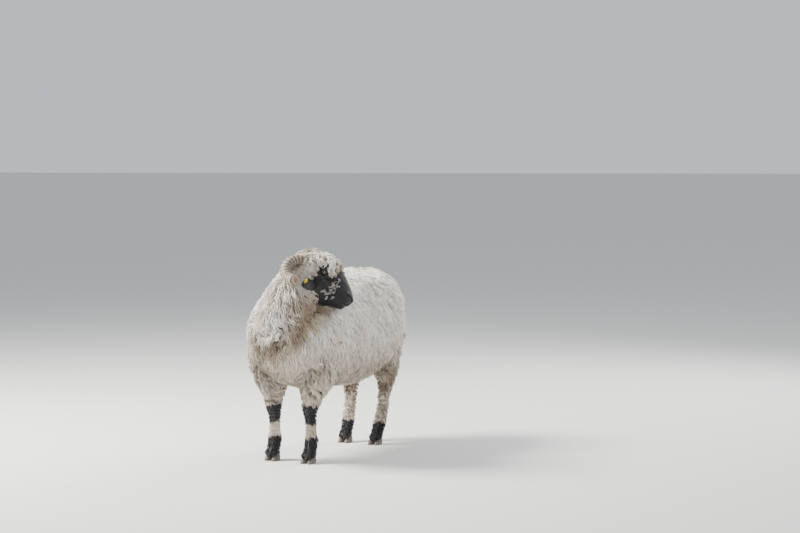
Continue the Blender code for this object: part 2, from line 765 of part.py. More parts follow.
def ear_frame(side):
    """The ear's axes in the head's: along to the tip, across the blade, and out of the cup's back."""
    along = unit(np.array([0.16, side * 0.93, -0.18]))
    back = unit(np.array([-0.10, side * 0.50, 0.82]))
    back = unit(back - np.dot(back, along) * along)
    across = np.cross(along, back)
    return along, across, back


def ear_surface(side, place, over):
    """Points of the ear's middle sheet, at a place along it and a place over it from -1 to 1."""
    along, across, back = ear_frame(side)
    width = 0.5 * EAR_WIDTH * (0.42 + 0.58 * np.sin(math.pi * np.minimum(1, 0.16 + 0.74 * place)) ** 0.8)
    width = width * np.sqrt(np.clip(1.02 - place**6, 0, 1))
    cup = EAR_CUP * (2 * width / EAR_WIDTH) ** 2
    droop = -0.012 * place**2
    root = np.array(EAR_ROOT) * np.array([1, side, 1])
    return (
        root
        + (EAR_LENGTH * place)[..., None] * along
        + (width * over)[..., None] * across
        - (cup * over**2)[..., None] * back
        + droop[..., None] * np.array([0, 0, 1.0])
    )


def make_ear(side):
    """A leaf-shaped ear with a hollow cup, its wall thinning to the rim."""
    rows, half = 8, 3
    place = np.linspace(0, 1, rows)
    over = np.linspace(-1, 1, 2 * half + 1)
    grid = ear_surface(side, *np.meshgrid(place, over, indexing="ij"))
    _, _, back = ear_frame(side)
    wall = 0.5 * EAR_WALL * (1.25 - 0.5 * place)[:, None] * (1 - 0.55 * over**2)[None]
    outer = grid + wall[..., None] * back
    inner = grid - wall[..., None] * back
    rings = np.concatenate([outer, inner[:, ::-1]], axis=1)
    return tube_mesh("ear", rings, grid[0, half], grid[-1, half])


def make_ear_tag(side):
    """A narrow flap that hangs through the ear's rear edge, its face to the ear's tip, and its round stud
    head.
    """
    along, across, back = ear_frame(side)
    middle = ear_surface(side, np.array(TAG_ALONG), np.array(-TAG_OVER * side))
    matrix = np.eye(4)
    matrix[:3, 0], matrix[:3, 1], matrix[:3, 2], matrix[:3, 3] = across, along, back, middle
    matrix = Matrix(matrix.tolist())
    flap = np.linspace([0, 0, -TAG_BELOW], [0, 0, TAG_ABOVE], 6)
    flap_radii = 0.5 * TAG_WIDTH * np.array([0.80, 1, 1, 1, 1, 0.80])
    stud = np.linspace([0, -TAG_WALL, 0.75 * TAG_ABOVE], [0, TAG_WALL, 0.75 * TAG_ABOVE], 3)
    pieces = [
        tube_along("flap", flap, flap_radii, 8, (0, 1, 0), flatten=TAG_WALL / TAG_WIDTH),
        tube_along("stud", stud, np.full(3, TAG_STUD_RADIUS), 8, (0, 0, 1)),
    ]
    return [put(piece, matrix) for piece in pieces]


def eye_centre(side):
    """The middle of the eyeball in the head's axes."""
    return Vector((EYE_AT[0], side * EYE_AT[1], EYE_AT[2]))


def make_ball(side, radius):
    """A ball round the eye's middle, with a pole looking out of the socket."""
    rings, sides = 7, 12
    tilt = np.linspace(0, math.pi, rings + 2)[1:-1]
    path = np.stack([np.zeros(rings), -side * np.cos(tilt), np.zeros(rings)], axis=-1) * radius
    around = np.arange(sides) / sides * 2 * math.pi
    circle = np.stack([np.cos(around), np.zeros(sides), np.sin(around)], axis=-1)
    rings_at = path[:, None] + radius * np.sin(tilt)[:, None, None] * circle[None]
    pole = np.array([0, -side * radius, 0])
    ball = tube_mesh("ball", rings_at, pole, -pole)
    return put(ball, Matrix.Translation(eye_centre(side)))


def lid_opening(side):
    """The cutter of the almond gap between the lids."""
    around = np.arange(12) / 12 * 2 * math.pi
    x = LID_HALF_LENGTH * np.cos(around)
    z = LID_HALF_HEIGHT * np.sin(around) * (1 - 0.25 * np.cos(around) ** 2)
    rings = [np.stack([x, np.full(12, side * out), z], axis=-1) for out in (0.002, 2 * EYE_RADIUS)]
    start, end = (np.array([0, side * out, 0]) for out in (0.002, 2 * EYE_RADIUS))
    return put(tube_mesh("lid_opening", np.array(rings), start, end), Matrix.Translation(eye_centre(side)))


def mouth_groove(head):
    """The cutter of the line between the lips, from one corner of the mouth round the front to the other."""
    steps = 11
    place = np.linspace(0, 1, 200)
    row = head.row_at(place)
    rise = (MOUTH_HEIGHT - row[:, 2]) / np.where(MOUTH_HEIGHT > row[:, 2], row[:, 4], row[:, 5])
    reach = np.clip(rise, -1, 1)
    angle = np.arcsin(np.sign(reach) * np.abs(reach) ** (1 / head.squareness))
    side = head.skin(place, angle[:, None])[:, 0]
    side = side[(row[:, 0] > MOUTH_CORNER)]
    picked = side[np.linspace(0, len(side) - 1, steps).astype(int)]
    picked[:, 2] = MOUTH_HEIGHT
    front = np.array([[HEAD_ROWS[-1][0] + 0.004, 0.0, MOUTH_HEIGHT]])
    path = np.vstack([picked, front, picked[::-1] * np.array([1, -1, 1])])
    droop = 0.004 * ((HEAD_ROWS[-1][0] - path[:, 0]) / (HEAD_ROWS[-1][0] - MOUTH_CORNER)) ** 2
    path[:, 2] -= droop
    radii = np.full(len(path), 2.2 * MOUTH_GROOVE)
    radii[[0, -1]] *= 0.4
    return tube_along("mouth", path, radii, 8, (0, 0, 1), flatten=0.45)


def nostril(side):
    """The cutter of a comma-shaped nostril."""
    back, front = (np.array(p) * np.array([1, side, 1]) for p in (NOSTRIL_BACK, NOSTRIL_FRONT))
    t = np.linspace(0, 1, 6)
    path = back + t[:, None] * (front - back)
    path[:, 2] += 0.004 * np.sin(math.pi * t)
    radii = NOSTRIL_RADIUS * (0.45 + 0.75 * t)
    return tube_along("nostril", path, radii, 8, (0, 0, 1), flatten=0.8)


def make_claw(inner):
    """One half of a cloven hoof, pointing to -Y, with its sole flat on the ground."""
    shape = (
        (0.03, 0.70, 0.96), (0.24, 0.97, 1.00), (0.55, 0.98, 0.90), (0.80, 0.78, 0.62), (0.97, 0.42, 0.32)
    )
    steps = 8
    around = (np.arange(steps) + 0.5) / steps * 2 * math.pi
    rings = []
    for along, wide, tall in shape:
        x = 0.5 * CLAW_WIDTH * wide * np.cos(around)
        z = CLAW_HEIGHT * tall * (0.42 + 0.61 * np.sin(around))
        z = np.maximum(z, 0.0)
        rings.append(np.stack([x, -CLAW_LENGTH * along + 0.25 * z * (along - 0.3), z], axis=-1))
    rings = np.array(rings)
    heel = np.array([0, 0.002, 0.40 * CLAW_HEIGHT])
    toe = np.array([0, -CLAW_LENGTH, 0.10 * CLAW_HEIGHT])
    mesh = tube_mesh("claw", rings, heel, toe)
    return put(mesh, Matrix.Translation((inner * CLAW_SPREAD, 0, 0)) @ Matrix.Rotation(0.06 * inner, 4, "Z"))


def block(low, high):
    """A box between two corners."""
    corners = [(x, y, z) for z in (low[2], high[2]) for x, y in
               ((low[0], low[1]), (high[0], low[1]), (high[0], high[1]), (low[0], high[1]))]
    faces = [(3, 2, 1, 0), (4, 5, 6, 7), (0, 1, 5, 4), (1, 2, 6, 5), (2, 3, 7, 6), (3, 0, 4, 7)]
    mesh = bpy.data.meshes.new("block")
    mesh.from_pydata(corners, [], faces)
    return mesh


def block_beyond(point, direction, offset):
    """A large box that begins at the plane through the point, moved on by the offset, and lies along the
    direction.
    """
    direction = Vector(direction).normalized()
    turn = direction.to_track_quat("Z", "Y").to_matrix().to_4x4()
    made = block((-1.5, -1.5, 0), (1.5, 1.5, 3))
    return put(made, Matrix.Translation(Vector(point) + offset * direction) @ turn)


class Sheep:
    """Builds the sheep's nodes: the hard ones and the face first, then the woolly ones, cut clear of all
    of those.
    """

    def __init__(self):
        self.head_to_world = head_matrix()
        self.torso = Loft(placed(flat_rows(TORSO_ROWS)), (1, 0, 0), (0, 0, 1))
        self.neck = Loft(placed(even_rows(NECK_ROWS)), (1, 0, 0), (0, 1, 0), follow=True)
        self.tail = Loft(placed(even_rows(TAIL_ROWS)), (1, 0, 0), (0, 1, 0), follow=True)
        self.head = HeadLoft(HEAD_ROWS)
        self.head_wool = WoolLoft(HEAD_ROWS)
        self.draw = random.Random(SEED)
        still = np.zeros(2)
        self.legs = {
            "foreleg_left": self.leg(FORELEG_ROWS, 1, still),
            "foreleg_right": self.leg(FORELEG_ROWS, -1, RIGHT_FORE_STEP),
            "hindleg_left": self.leg(HINDLEG_ROWS, 1, still),
            "hindleg_right": self.leg(HINDLEG_ROWS, -1, RIGHT_HIND_STEP),
        }

    @staticmethod
    def leg(rows, side, step):
        """A leg's loft on the left side, 1, or the right, -1."""
        return Loft(leg_rows(rows, side < 0, step), (1, 0, 0), (0, 1, 0), thin_side=(-side, 0, 0))

    def build_face(self):
        """The head with its lids, lips and nostrils, and the eyes, horns, ears and tag that sit in it."""
        world = self.head_to_world
        head = new_object("head", self.head.core("head", 24, 20), FACE)
        boolean(head, [make_ball(side, EYE_RADIUS + LID_THICKNESS) for side in (1, -1)], "UNION")
        openings = [lid_opening(1), lid_opening(-1), nostril(1), nostril(-1)]
        boolean(head, [mouth_groove(self.head)] + openings, "DIFFERENCE")
        head.data.transform(world)
        hard = []
        for side, word in ((1, "left"), (-1, "right")):
            hard.append(new_object(f"eye_{word}", put(make_ball(side, EYE_RADIUS), world), EYE))
            hard.append(new_object(f"horn_{word}", put(make_horn(side), world), HORN))
            hard.append(new_object(f"ear_{word}", put(make_ear(side), world), FACE))
        first, *others = [put(piece, world) for piece in make_ear_tag(-1)]
        tag = new_object("ear_tag", first, TAG)
        boolean(tag, others, "UNION")
        cut_clear(bpy.data.objects["ear_right"], [tag, bpy.data.objects["horn_right"]])
        cut_clear(bpy.data.objects["ear_left"], [bpy.data.objects["horn_left"]])
        cut_clear(head, hard + [tag])
        return head, hard + [tag]

    def crown_cell(self):
        """The piece of space that the topknot fills."""
        return put(block(CROWN_FROM, CROWN_TO), self.head_to_world)

    def leg_cell(self, name):
        """The piece of space that a leg fills."""
        loft, height = self.legs[name], FORELEG_CUT if name.startswith("fore") else HINDLEG_CUT
        return loft.cell(name, 8, 8, loft.place_at_height(height), CELL_MARGIN)

    def tail_cell(self):
        """The piece of space that the tail fills."""
        return self.tail.cell("tail", 7, 8, self.tail.place_at_height(TAIL_CUT), CELL_MARGIN)

    def dewclaws(self, loft):
        """The two small claws behind a pastern."""
        place = np.array([loft.place_at_height(DEWCLAW_HEIGHT)])
        row = loft.row_at(place)[0]
        made = []
        for across in (-0.55, 0.55):
            top = np.array([row[0] + across * row[3], row[1] + 0.6 * row[4], row[2] + 0.006])
            path = np.linspace(top, top + np.array([0.0, 0.016, -0.016]), 3)
            made.append(tube_along("dewclaw", path, DEWCLAW_RADIUS * np.array([0.9, 1.0, 0.6]), 6, (1, 0, 0)))
        return made

    def grow_coat(self):
        """Makes every core, dewclaw and lock of the body."""
        self.coat = [
            self.torso.core("torso", 13, 14),
            self.neck.core("neck", 9, 12),
            self.tail.core("tail", 8, 8),
            put(self.head_wool.core("wool", 9, 12), self.head_to_world),
        ]
        self.coat += [loft.core(name, 17, 8) for name, loft in self.legs.items()]
        for loft in self.legs.values():
            self.coat += self.dewclaws(loft)
        masses = [self.torso, self.neck, self.tail, *self.legs.values()]
        plans = [TORSO_LOCKS, NECK_LOCKS, TAIL_LOCKS]
        plans += [FORELEG_LOCKS if name.startswith("fore") else HINDLEG_LOCKS for name in self.legs]
        taken = []
        for mass, plan in zip(masses, plans):
            self.coat += mass.locks(plan, self.draw, [other for other in masses if other is not mass], taken)
        crown = self.head_wool.locks(CROWN_LOCKS, self.draw, [], [])
        self.coat += [put(lock, self.head_to_world) for lock in crown]

    def woolly(self, name, keep, cut, box):
        """A node of wool: the masses and locks in its box fused, trimmed to its own space and cut clear
        of the rest.
        """
        low, high = (np.array(corner) + STANCE for corner in box)
        pieces = []
        for mesh in self.coat:
            points = np.array([v.co for v in mesh.vertices])
            if (points.max(axis=0) > low).all() and (points.min(axis=0) < high).all():
                pieces.append(mesh.copy())
        obj = new_object(name, pieces[0], FLEECE)
        boolean(obj, pieces[1:], "UNION")
        if keep:
            boolean(obj, [keep], "INTERSECT")
        if cut:
            boolean(obj, cut, "DIFFERENCE")
        return obj

    def build_claws(self, leg_name, loft):
        """The two claws of a foot."""
        foot = Vector(loft.rows[-1][:3])
        made = []
        outer = 1 if leg_name.endswith("left") else -1
        for inner, word in ((outer, "outer"), (-outer, "inner")):
            mesh = make_claw(inner)
            mesh.transform(Matrix.Translation((foot.x, foot.y + 0.024, 0)))
            made.append(new_object(f"claw_{leg_name}_{word}", mesh, CLAW))
        return made

    def build(self):
        """Every node."""
        head, hard = self.build_face()
        face = [head] + hard
        self.grow_coat()
        for name, loft in self.legs.items():
            claws = self.build_claws(name, loft)
            clear = [grown(claw.data, CLEARANCE) for claw in claws]
            self.woolly(name, self.leg_cell(name), clear, LEG_BOXES[name])
        self.woolly("tail", self.tail_cell(), [], TAIL_BOX)
        clear = [grown(obj.data, CLEARANCE) for obj in face]
        self.woolly("topknot", self.crown_cell(), clear, HEAD_BOX)
        point, direction = Vector(NECK_CUT[0]) + Vector(STANCE), Vector(NECK_CUT[1])
        in_the_way = [obj.data for obj in face] + [self.leg_cell(name) for name in self.legs]
        in_the_way.append(self.tail_cell())
        ahead = block_beyond(point, direction, -CLEARANCE)
        self.woolly("torso", None, [grown(mesh, CLEARANCE) for mesh in in_the_way] + [ahead], TORSO_BOX)
        in_the_way.append(self.crown_cell())
        behind = block_beyond(point, -direction, 0)
        self.woolly("neck", None, [grown(mesh, CLEARANCE) for mesh in in_the_way] + [behind], NECK_BOX)
        for obj in bpy.data.objects:
            obj.data.shade_smooth()
            obj.data.set_sharp_from_angle(angle=SHARP_ANGLE)


def main():
    clear_scene()
    Sheep().build()


main()
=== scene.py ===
"""The looks of a horned, black-nosed mountain sheep at life size: skin, wool, horns, eyes and claws.

Metres, +Z up. The sheep faces -Y, its left side is +X and its claws stand on Z = 0. Its head is turned over
its left shoulder. Each mass of flesh is a loft: superellipse sections carried along a path. Every lock of
wool starts on a loft, follows the lie of the coat and ends at the coat's own depth.
"""

import sys
import logging
import math
from dataclasses import dataclass, field
from enum import Enum

import bpy
import numpy as np
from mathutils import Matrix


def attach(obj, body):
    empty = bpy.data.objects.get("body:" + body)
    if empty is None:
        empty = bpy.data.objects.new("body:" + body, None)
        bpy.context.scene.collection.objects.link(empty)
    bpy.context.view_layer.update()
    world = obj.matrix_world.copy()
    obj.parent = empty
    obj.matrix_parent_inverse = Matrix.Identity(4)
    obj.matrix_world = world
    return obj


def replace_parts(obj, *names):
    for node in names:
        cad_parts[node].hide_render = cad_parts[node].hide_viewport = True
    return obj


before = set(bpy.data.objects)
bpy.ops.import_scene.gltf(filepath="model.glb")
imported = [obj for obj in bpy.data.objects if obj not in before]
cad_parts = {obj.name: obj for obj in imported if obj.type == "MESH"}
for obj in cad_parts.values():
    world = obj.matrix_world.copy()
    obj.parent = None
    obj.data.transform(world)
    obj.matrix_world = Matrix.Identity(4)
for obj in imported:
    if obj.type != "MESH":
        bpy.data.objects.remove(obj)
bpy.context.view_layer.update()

Array = np.ndarray
Point = tuple[float, float, float]
LOG = logging.getLogger("sheep")
BODY = "root"
FULL_TURN = 2 * math.pi

# The largest number of triangles in one piece of the coat, and how wide a lock's patch is on its UV map.
PIECE_TRIANGLES = 190_000
PATCH = 0.003
# How many locks are grown at a time.
LOT = 300

# Where the middle of the four feet lies, so that the whole sheep is centred on the origin.
STANCE = np.array([-0.012, -0.042, 0.0])

# The head: where its axis starts inside the skull, the way it is turned from -Y towards +X, and its nod.
SKULL_ROOT = np.array([0.065, -0.326, 0.803])
HEAD_TURN = math.radians(112)
HEAD_NOD = math.radians(32)

# Skin sections of the torso: y, back, belly, half width, coat depth.
TORSO_ROWS = (
    (-0.430, 0.585, 0.475, 0.060, 0.052),
    (-0.370, 0.650, 0.410, 0.128, 0.056),
    (-0.290, 0.696, 0.368, 0.168, 0.056),
    (-0.190, 0.722, 0.350, 0.176, 0.056),
    (-0.060, 0.730, 0.342, 0.180, 0.060),
    (0.070, 0.728, 0.340, 0.184, 0.060),
    (0.190, 0.737, 0.360, 0.180, 0.060),
    (0.300, 0.742, 0.400, 0.149, 0.060),
    (0.385, 0.720, 0.455, 0.110, 0.056),
    (0.435, 0.672, 0.530, 0.066, 0.052),
)
# Neck sections along its bent axis: x, y, z, half across, half front to back, coat depth.
NECK_ROWS = (
    (0.000, -0.270, 0.480, 0.125, 0.120, 0.050),
    (0.000, -0.305, 0.550, 0.118, 0.132, 0.056),
    (0.006, -0.336, 0.615, 0.092, 0.110, 0.056),
    (0.026, -0.350, 0.685, 0.072, 0.082, 0.052),
    (0.046, -0.342, 0.745, 0.060, 0.062, 0.042),
    (0.058, -0.332, 0.795, 0.050, 0.050, 0.034),
)
# Tail sections: x, y, z, half across, half thick, coat depth.
TAIL_ROWS = (
    (0.000, 0.455, 0.655, 0.022, 0.016, 0.030),
    (0.012, 0.505, 0.610, 0.018, 0.014, 0.034),
    (0.036, 0.530, 0.545, 0.015, 0.012, 0.036),
    (0.050, 0.532, 0.475, 0.011, 0.009, 0.032),
    (0.052, 0.520, 0.425, 0.007, 0.006, 0.024),
)
# Leg sections, left side: x, y, z, half across, half towards the front, half towards the back, coat depth.
FORELEG_ROWS = (
    (0.096, -0.285, 0.560, 0.050, 0.070, 0.070, 0.020),
    (0.106, -0.286, 0.455, 0.054, 0.080, 0.084, 0.054),
    (0.096, -0.298, 0.350, 0.037, 0.047, 0.050, 0.050),
    (0.088, -0.308, 0.275, 0.027, 0.030, 0.031, 0.024),
    (0.086, -0.312, 0.225, 0.027, 0.030, 0.028, 0.006),
    (0.085, -0.307, 0.175, 0.019, 0.020, 0.022, 0.006),
    (0.085, -0.305, 0.130, 0.016, 0.018, 0.019, 0.009),
    (0.085, -0.303, 0.088, 0.022, 0.023, 0.026, 0.009),
    (0.085, -0.314, 0.058, 0.021, 0.020, 0.024, 0.009),
    (0.085, -0.322, 0.034, 0.027, 0.030, 0.028, 0.006),
)
HINDLEG_ROWS = (
    (0.080, 0.270, 0.600, 0.050, 0.080, 0.080, 0.020),
    (0.094, 0.272, 0.510, 0.054, 0.100, 0.094, 0.044),
    (0.102, 0.274, 0.415, 0.044, 0.084, 0.078, 0.044),
    (0.100, 0.312, 0.345, 0.036, 0.050, 0.052, 0.034),
    (0.088, 0.345, 0.280, 0.023, 0.030, 0.038, 0.020),
    (0.084, 0.342, 0.220, 0.017, 0.020, 0.024, 0.016),
    (0.082, 0.324, 0.150, 0.015, 0.018, 0.020, 0.015),
    (0.080, 0.304, 0.092, 0.021, 0.022, 0.025, 0.011),
    (0.080, 0.286, 0.058, 0.020, 0.019, 0.023, 0.009),
    (0.080, 0.274, 0.034, 0.026, 0.029, 0.027, 0.006),
)
# Head sections along the skull's axis: distance, top, underside, half width, how far the section draws in at
# the crown and at the jaw, depth of the fur.
HEAD_ROWS = (
    (-0.050, 0.020, -0.045, 0.034, 0.10, 0.10, 0.004),
    (-0.030, 0.050, -0.068, 0.054, 0.12, 0.15, 0.004),
    (0.005, 0.072, -0.080, 0.064, 0.16, 0.28, 0.004),
    (0.040, 0.084, -0.086, 0.069, 0.18, 0.40, 0.004),
    (0.075, 0.092, -0.088, 0.070, 0.20, 0.48, 0.004),
    (0.110, 0.096, -0.084, 0.062, 0.30, 0.50, 0.004),
    (0.135, 0.091, -0.072, 0.053, 0.40, 0.46, 0.003),
    (0.160, 0.076, -0.061, 0.046, 0.44, 0.40, 0.003),
    (0.190, 0.056, -0.053, 0.043, 0.42, 0.34, 0.003),
    (0.212, 0.040, -0.047, 0.041, 0.38, 0.30, 0.002),
    (0.228, 0.025, -0.041, 0.035, 0.34, 0.28, 0.002),
    (0.238, 0.010, -0.030, 0.022, 0.30, 0.28, 0.002),
)
# Wool on the head: distance along the skull's axis, depth on the crown, on the sides and under the jaw.
HEAD_WOOL = (
    (-0.050, 0.034, 0.026, 0.030),
    (0.000, 0.046, 0.024, 0.034),
    (0.045, 0.044, 0.014, 0.034),
    (0.080, 0.036, 0.005, 0.030),
    (0.110, 0.024, 0.003, 0.022),
    (0.140, 0.010, 0.002, 0.010),
    (0.165, 0.000, 0.000, 0.000),
    (0.240, 0.000, 0.000, 0.000),
)
# How far each right foot stands from the left one's mirror image: forward and across.
RIGHT_HIND_STEP = (-0.006, 0.010)
RIGHT_FORE_STEP = (0.0, -0.006)
# The coat's depth on the inner side of a leg, as a share of its depth elsewhere.
INNER_COAT = 0.30

# The driving sizes of the camera: how it is turned and raised, its distance, its lens, and where in the
# 800 by 533 frame the middle of the sheep's stance, at AIM_HEIGHT, lies.
FRAME_SIZE = (800, 533)
SENSOR = 36.0
CAMERA_TURN = math.radians(30)
CAMERA_RISE = math.radians(6)
CAMERA_DISTANCE = 8.0
CAMERA_LENS = 82.4
AIM_HEIGHT = 0.4
AIM_PIXEL = (329, 360)


class Noise(Enum):
    """The soft noises in use: the step of each in metres, and its seed."""

    STAIN = (0.09, 1)
    FINE_STAIN = (0.035, 2)
    SPECKLE = (0.02, 3)
    DIRT = (0.05, 3)
    FINE_DIRT = (0.013, 22)
    BLACK_EDGE = (0.015, 4)
    MASK_EDGE = (0.016, 5)
    POLL = (0.03, 6)
    SKIN_TUFT = (0.006, 7)
    HORN_STREAK = (0.004, 8)
    HORN_END = (0.004, 9)
    EAR = (0.008, 10)
    CLAW = (0.003, 11)
    LUMPS = (0.055, 12)
    STRAY = (0.07, 13)
    WOOL_EDGE = (0.012, 14)
    CROWN = (0.02, 15)
    CHEEK = (0.03, 16)
    GREY = (0.010, 17)
    FORELOCK = (0.012, 18)
    FLECK = (0.011, 19)
    FLECK_STRAW = (0.01, 20)
    FLECK_BLACK = (0.008, 21)


def unit(vectors: Array) -> Array:
    """The vectors of the last axis at length 1."""
    return vectors / np.maximum(np.linalg.norm(vectors, axis=-1, keepdims=True), 1e-12)


def dot(first: Array, second: Array) -> Array:
    """The dot products of two arrays of vectors, kept as a last axis of length 1."""
    return (first * second).sum(-1, keepdims=True)


def turns(count: int) -> Array:
    """So many angles, evenly round a full turn."""
    return np.arange(count) / count * FULL_TURN


def grid(first: Array, second: Array) -> tuple[Array, Array]:
    """Every pair of two arrays' values: the first's change from row to row, the second's along a row."""
    return tuple(np.meshgrid(first, second, indexing="ij"))


def mirrored(point: Point, side: int) -> Array:
    """A point of the left side as it lies on the left, 1, or on the right, -1."""
    return np.array(point) * np.array([1, side, 1])


def matrix_of(x: Array, y: Array, z: Array, place: Array) -> Array:
    """The 4 by 4 matrix with three axes and a place as its columns."""
    return np.vstack([np.stack([x, y, z, place], -1), [0.0, 0.0, 0.0, 1.0]])


def ramp(values: Array, start: float, stop: float) -> Array:
    """A smoothstep: 0 at `start`, 1 at `stop`, which may lie below it, and 3t^2 - 2t^3 between them."""
    share = np.clip((values - start) / (stop - start), 0, 1)
    return share * share * (3 - 2 * share)


def band(values: Array, edges: tuple[float, float, float, float]) -> Array:
    """A share that rises between the first two edges, is 1 up to the third and falls to 0 at the last."""
    return ramp(values, edges[0], edges[1]) * ramp(values, edges[3], edges[2])


def bump(distance: Array, reach: float) -> Array:
    """A bell: e to the power of minus (distance / reach) squared."""
    return np.exp(-((distance / reach) ** 2))


def beside_line(points: Array, start: Array, end: Array) -> Array:
    """How far along the line from start to end the point nearest to each point lies, from 0 to 1."""
    way = end - start
    return np.clip((points - start) @ way / (way**2).sum(), 0, 1)


def superellipse(angle: Array, power: float) -> tuple[Array, Array]:
    """Cosine and sine with their sizes raised to a power: below 1 the round they draw is squarer."""
    return tuple(np.sign(part) * np.abs(part) ** power for part in (np.cos(angle), np.sin(angle)))


def cloud(points: Array, noise: Noise) -> Array:
    """Soft noise: random values on a cubic lattice, blended by a smoothstep along each axis.

    Args:
        points: Points in metres.
        noise: Which noise it is.

    Returns:
        A value from -1 to 1 for each point.
    """
    size, seed = noise.value
    at = points / size + 31.7 * seed
    cell = np.floor(at).astype(np.int64)
    part = at - cell
    part = part * part * (3 - 2 * part)
    total = np.zeros(points.shape[:-1])
    for corner in range(8):
        shift = np.array([corner & 1, corner >> 1 & 1, corner >> 2])
        key = ((cell + shift) * np.array([73856093, 19349663, 83492791])).sum(-1)
        key = (key ^ (key >> 13)) * 1274126177
        value = ((key ^ (key >> 16)) & 0xFFFF) / 0xFFFF
        total += value * np.where(shift, part, 1 - part).prod(-1)
    return 2 * total - 1


def mixed(first: Array, second: Array, share: Array) -> Array:
    """Blends colours: first times (1 - share) plus second times share."""
    share = np.asarray(share)[..., None]
    return np.asarray(first) * (1 - share) + np.asarray(second) * share


def plain(points: Array, colour: Point) -> Array:
    """One colour for every point."""
    return np.full_like(points, 1.0) * np.array(colour)


def smooth_rows(rows: Array, count: int) -> Array:
    """Reads rows at an even count of places on a Catmull-Rom curve through them.

    Args:
        rows: The rows, one a section.
        count: How many places are read.

    Returns:
        The read rows.
    """
    rows = np.asarray(rows, float)
    last = len(rows) - 1
    padded = np.vstack([2 * rows[0] - rows[1], rows, 2 * rows[-1] - rows[-2]])
    place = np.linspace(0, last, count)
    index = np.minimum(place.astype(int), last - 1)
    t = (place - index)[:, None]
    before, start, end, after = (padded[index + k] for k in range(4))
    return 0.5 * (
        2 * start
        + (end - before) * t
        + (2 * before - 5 * start + 4 * end - after) * t**2
        + (3 * start - before - 3 * end + after) * t**3
    )


@dataclass
class Surface:
    """A closed mesh as arrays: points, triangles, a colour for each point and a UV for each corner."""

    points: Array
    triangles: Array
    tint: Array
    flow: Array | None = None
    corners: Array | None = None

    def outward(self) -> "Surface":
        """Turns the triangles round if the volume that they enclose, the sum of a . (b x c), is negative.

        Returns:
            The same surface.
        """
        a, b, c = (self.points[self.triangles[:, k]] for k in range(3))
        if (a * np.cross(b, c)).sum() < 0:
            self.triangles = self.triangles[:, ::-1]
            if self.corners is not None:
                self.corners = self.corners.reshape(-1, 3, 2)[:, ::-1].reshape(-1, 2)
        return self

    def moved(self, matrix: Array) -> "Surface":
        """The surface with its points turned and shifted by a 4 by 4 matrix."""
        points = self.points @ matrix[:3, :3].T + matrix[:3, 3]
        return Surface(points, self.triangles, self.tint, self.flow, self.corners).outward()

    @staticmethod
    def joined(parts: list["Surface"]) -> "Surface":
        """Puts several surfaces into one, each still closed by itself.

        Args:
            parts: The surfaces.

        Returns:
            One surface that holds them all.
        """
        starts = np.cumsum([0] + [len(part.points) for part in parts[:-1]])
        flow = [part.points if part.flow is None else part.flow for part in parts]
        return Surface(
            np.concatenate([part.points for part in parts]),
            np.concatenate([part.triangles + start for part, start in zip(parts, starts)]),
            np.concatenate([part.tint for part in parts]),
            np.concatenate(flow),
            None if parts[0].corners is None else np.concatenate([part.corners for part in parts]),
        )

    def to_object(self, name: str, finish: "Finish", slot: str) -> bpy.types.Object:
        """Puts the surface into the scene as a piece that rides on the sheep's body.

        Args:
            name: The piece's name.
            finish: What it is made to look like.
            slot: The record's material slot; not used here.

        Returns:
            The new object.
        """
        mesh = bpy.data.meshes.new(name)
        count = len(self.triangles)
        mesh.vertices.add(len(self.points))
        mesh.loops.add(3 * count)
        mesh.polygons.add(count)
        mesh.vertices.foreach_set("co", self.points.astype(np.float32).ravel())
        mesh.loops.foreach_set("vertex_index", self.triangles.astype(np.int32).ravel())
        mesh.polygons.foreach_set("loop_start", np.arange(count, dtype=np.int32) * 3)
        mesh.polygons.foreach_set("use_smooth", np.ones(count, dtype=bool))
        mesh.update(calc_edges=True)
        tint = np.ones((len(self.points), 4), np.float32)
        tint[:, :3] = np.clip(self.tint, 0, 1)
        mesh.attributes.new("tint", "FLOAT_COLOR", "POINT").data.foreach_set("color", tint.ravel())
        if self.flow is not None:
            flow = mesh.attributes.new("flow", "FLOAT_VECTOR", "POINT")
            flow.data.foreach_set("vector", self.flow.astype(np.float32).ravel())
        if self.corners is not None:
            chart = mesh.uv_layers.new(name="OFBake")
            chart.uv.foreach_set("vector", self.corners.astype(np.float32).ravel())
        mesh.validate()
        mesh.materials.append(finish.material())
        obj = bpy.data.objects.new(name, mesh)
        bpy.context.scene.collection.objects.link(obj)
        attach(obj, BODY)
        LOG.info("%s: %d triangles", name, count)
        return obj


def walls(rows: int, sides: int, looped: bool = False) -> Array:
    """The triangles between rings of points: two for each point and the next one round and along.

    Args:
        rows: How many rings there are.
        sides: How many points a ring has.
        looped: Whether the last ring is joined to the first.

    Returns:
        Point numbers by triangle.
    """
    ring, side = grid(np.arange(rows - 1 + looped), np.arange(sides))
    beside, ahead = (side + 1) % sides, (ring + 1) % rows * sides
    a, b, c, d = ring * sides + side, ring * sides + beside, ahead + beside, ahead + side
    return np.concatenate([np.stack([a, b, c], -1), np.stack([a, c, d], -1)]).reshape(-1, 3)


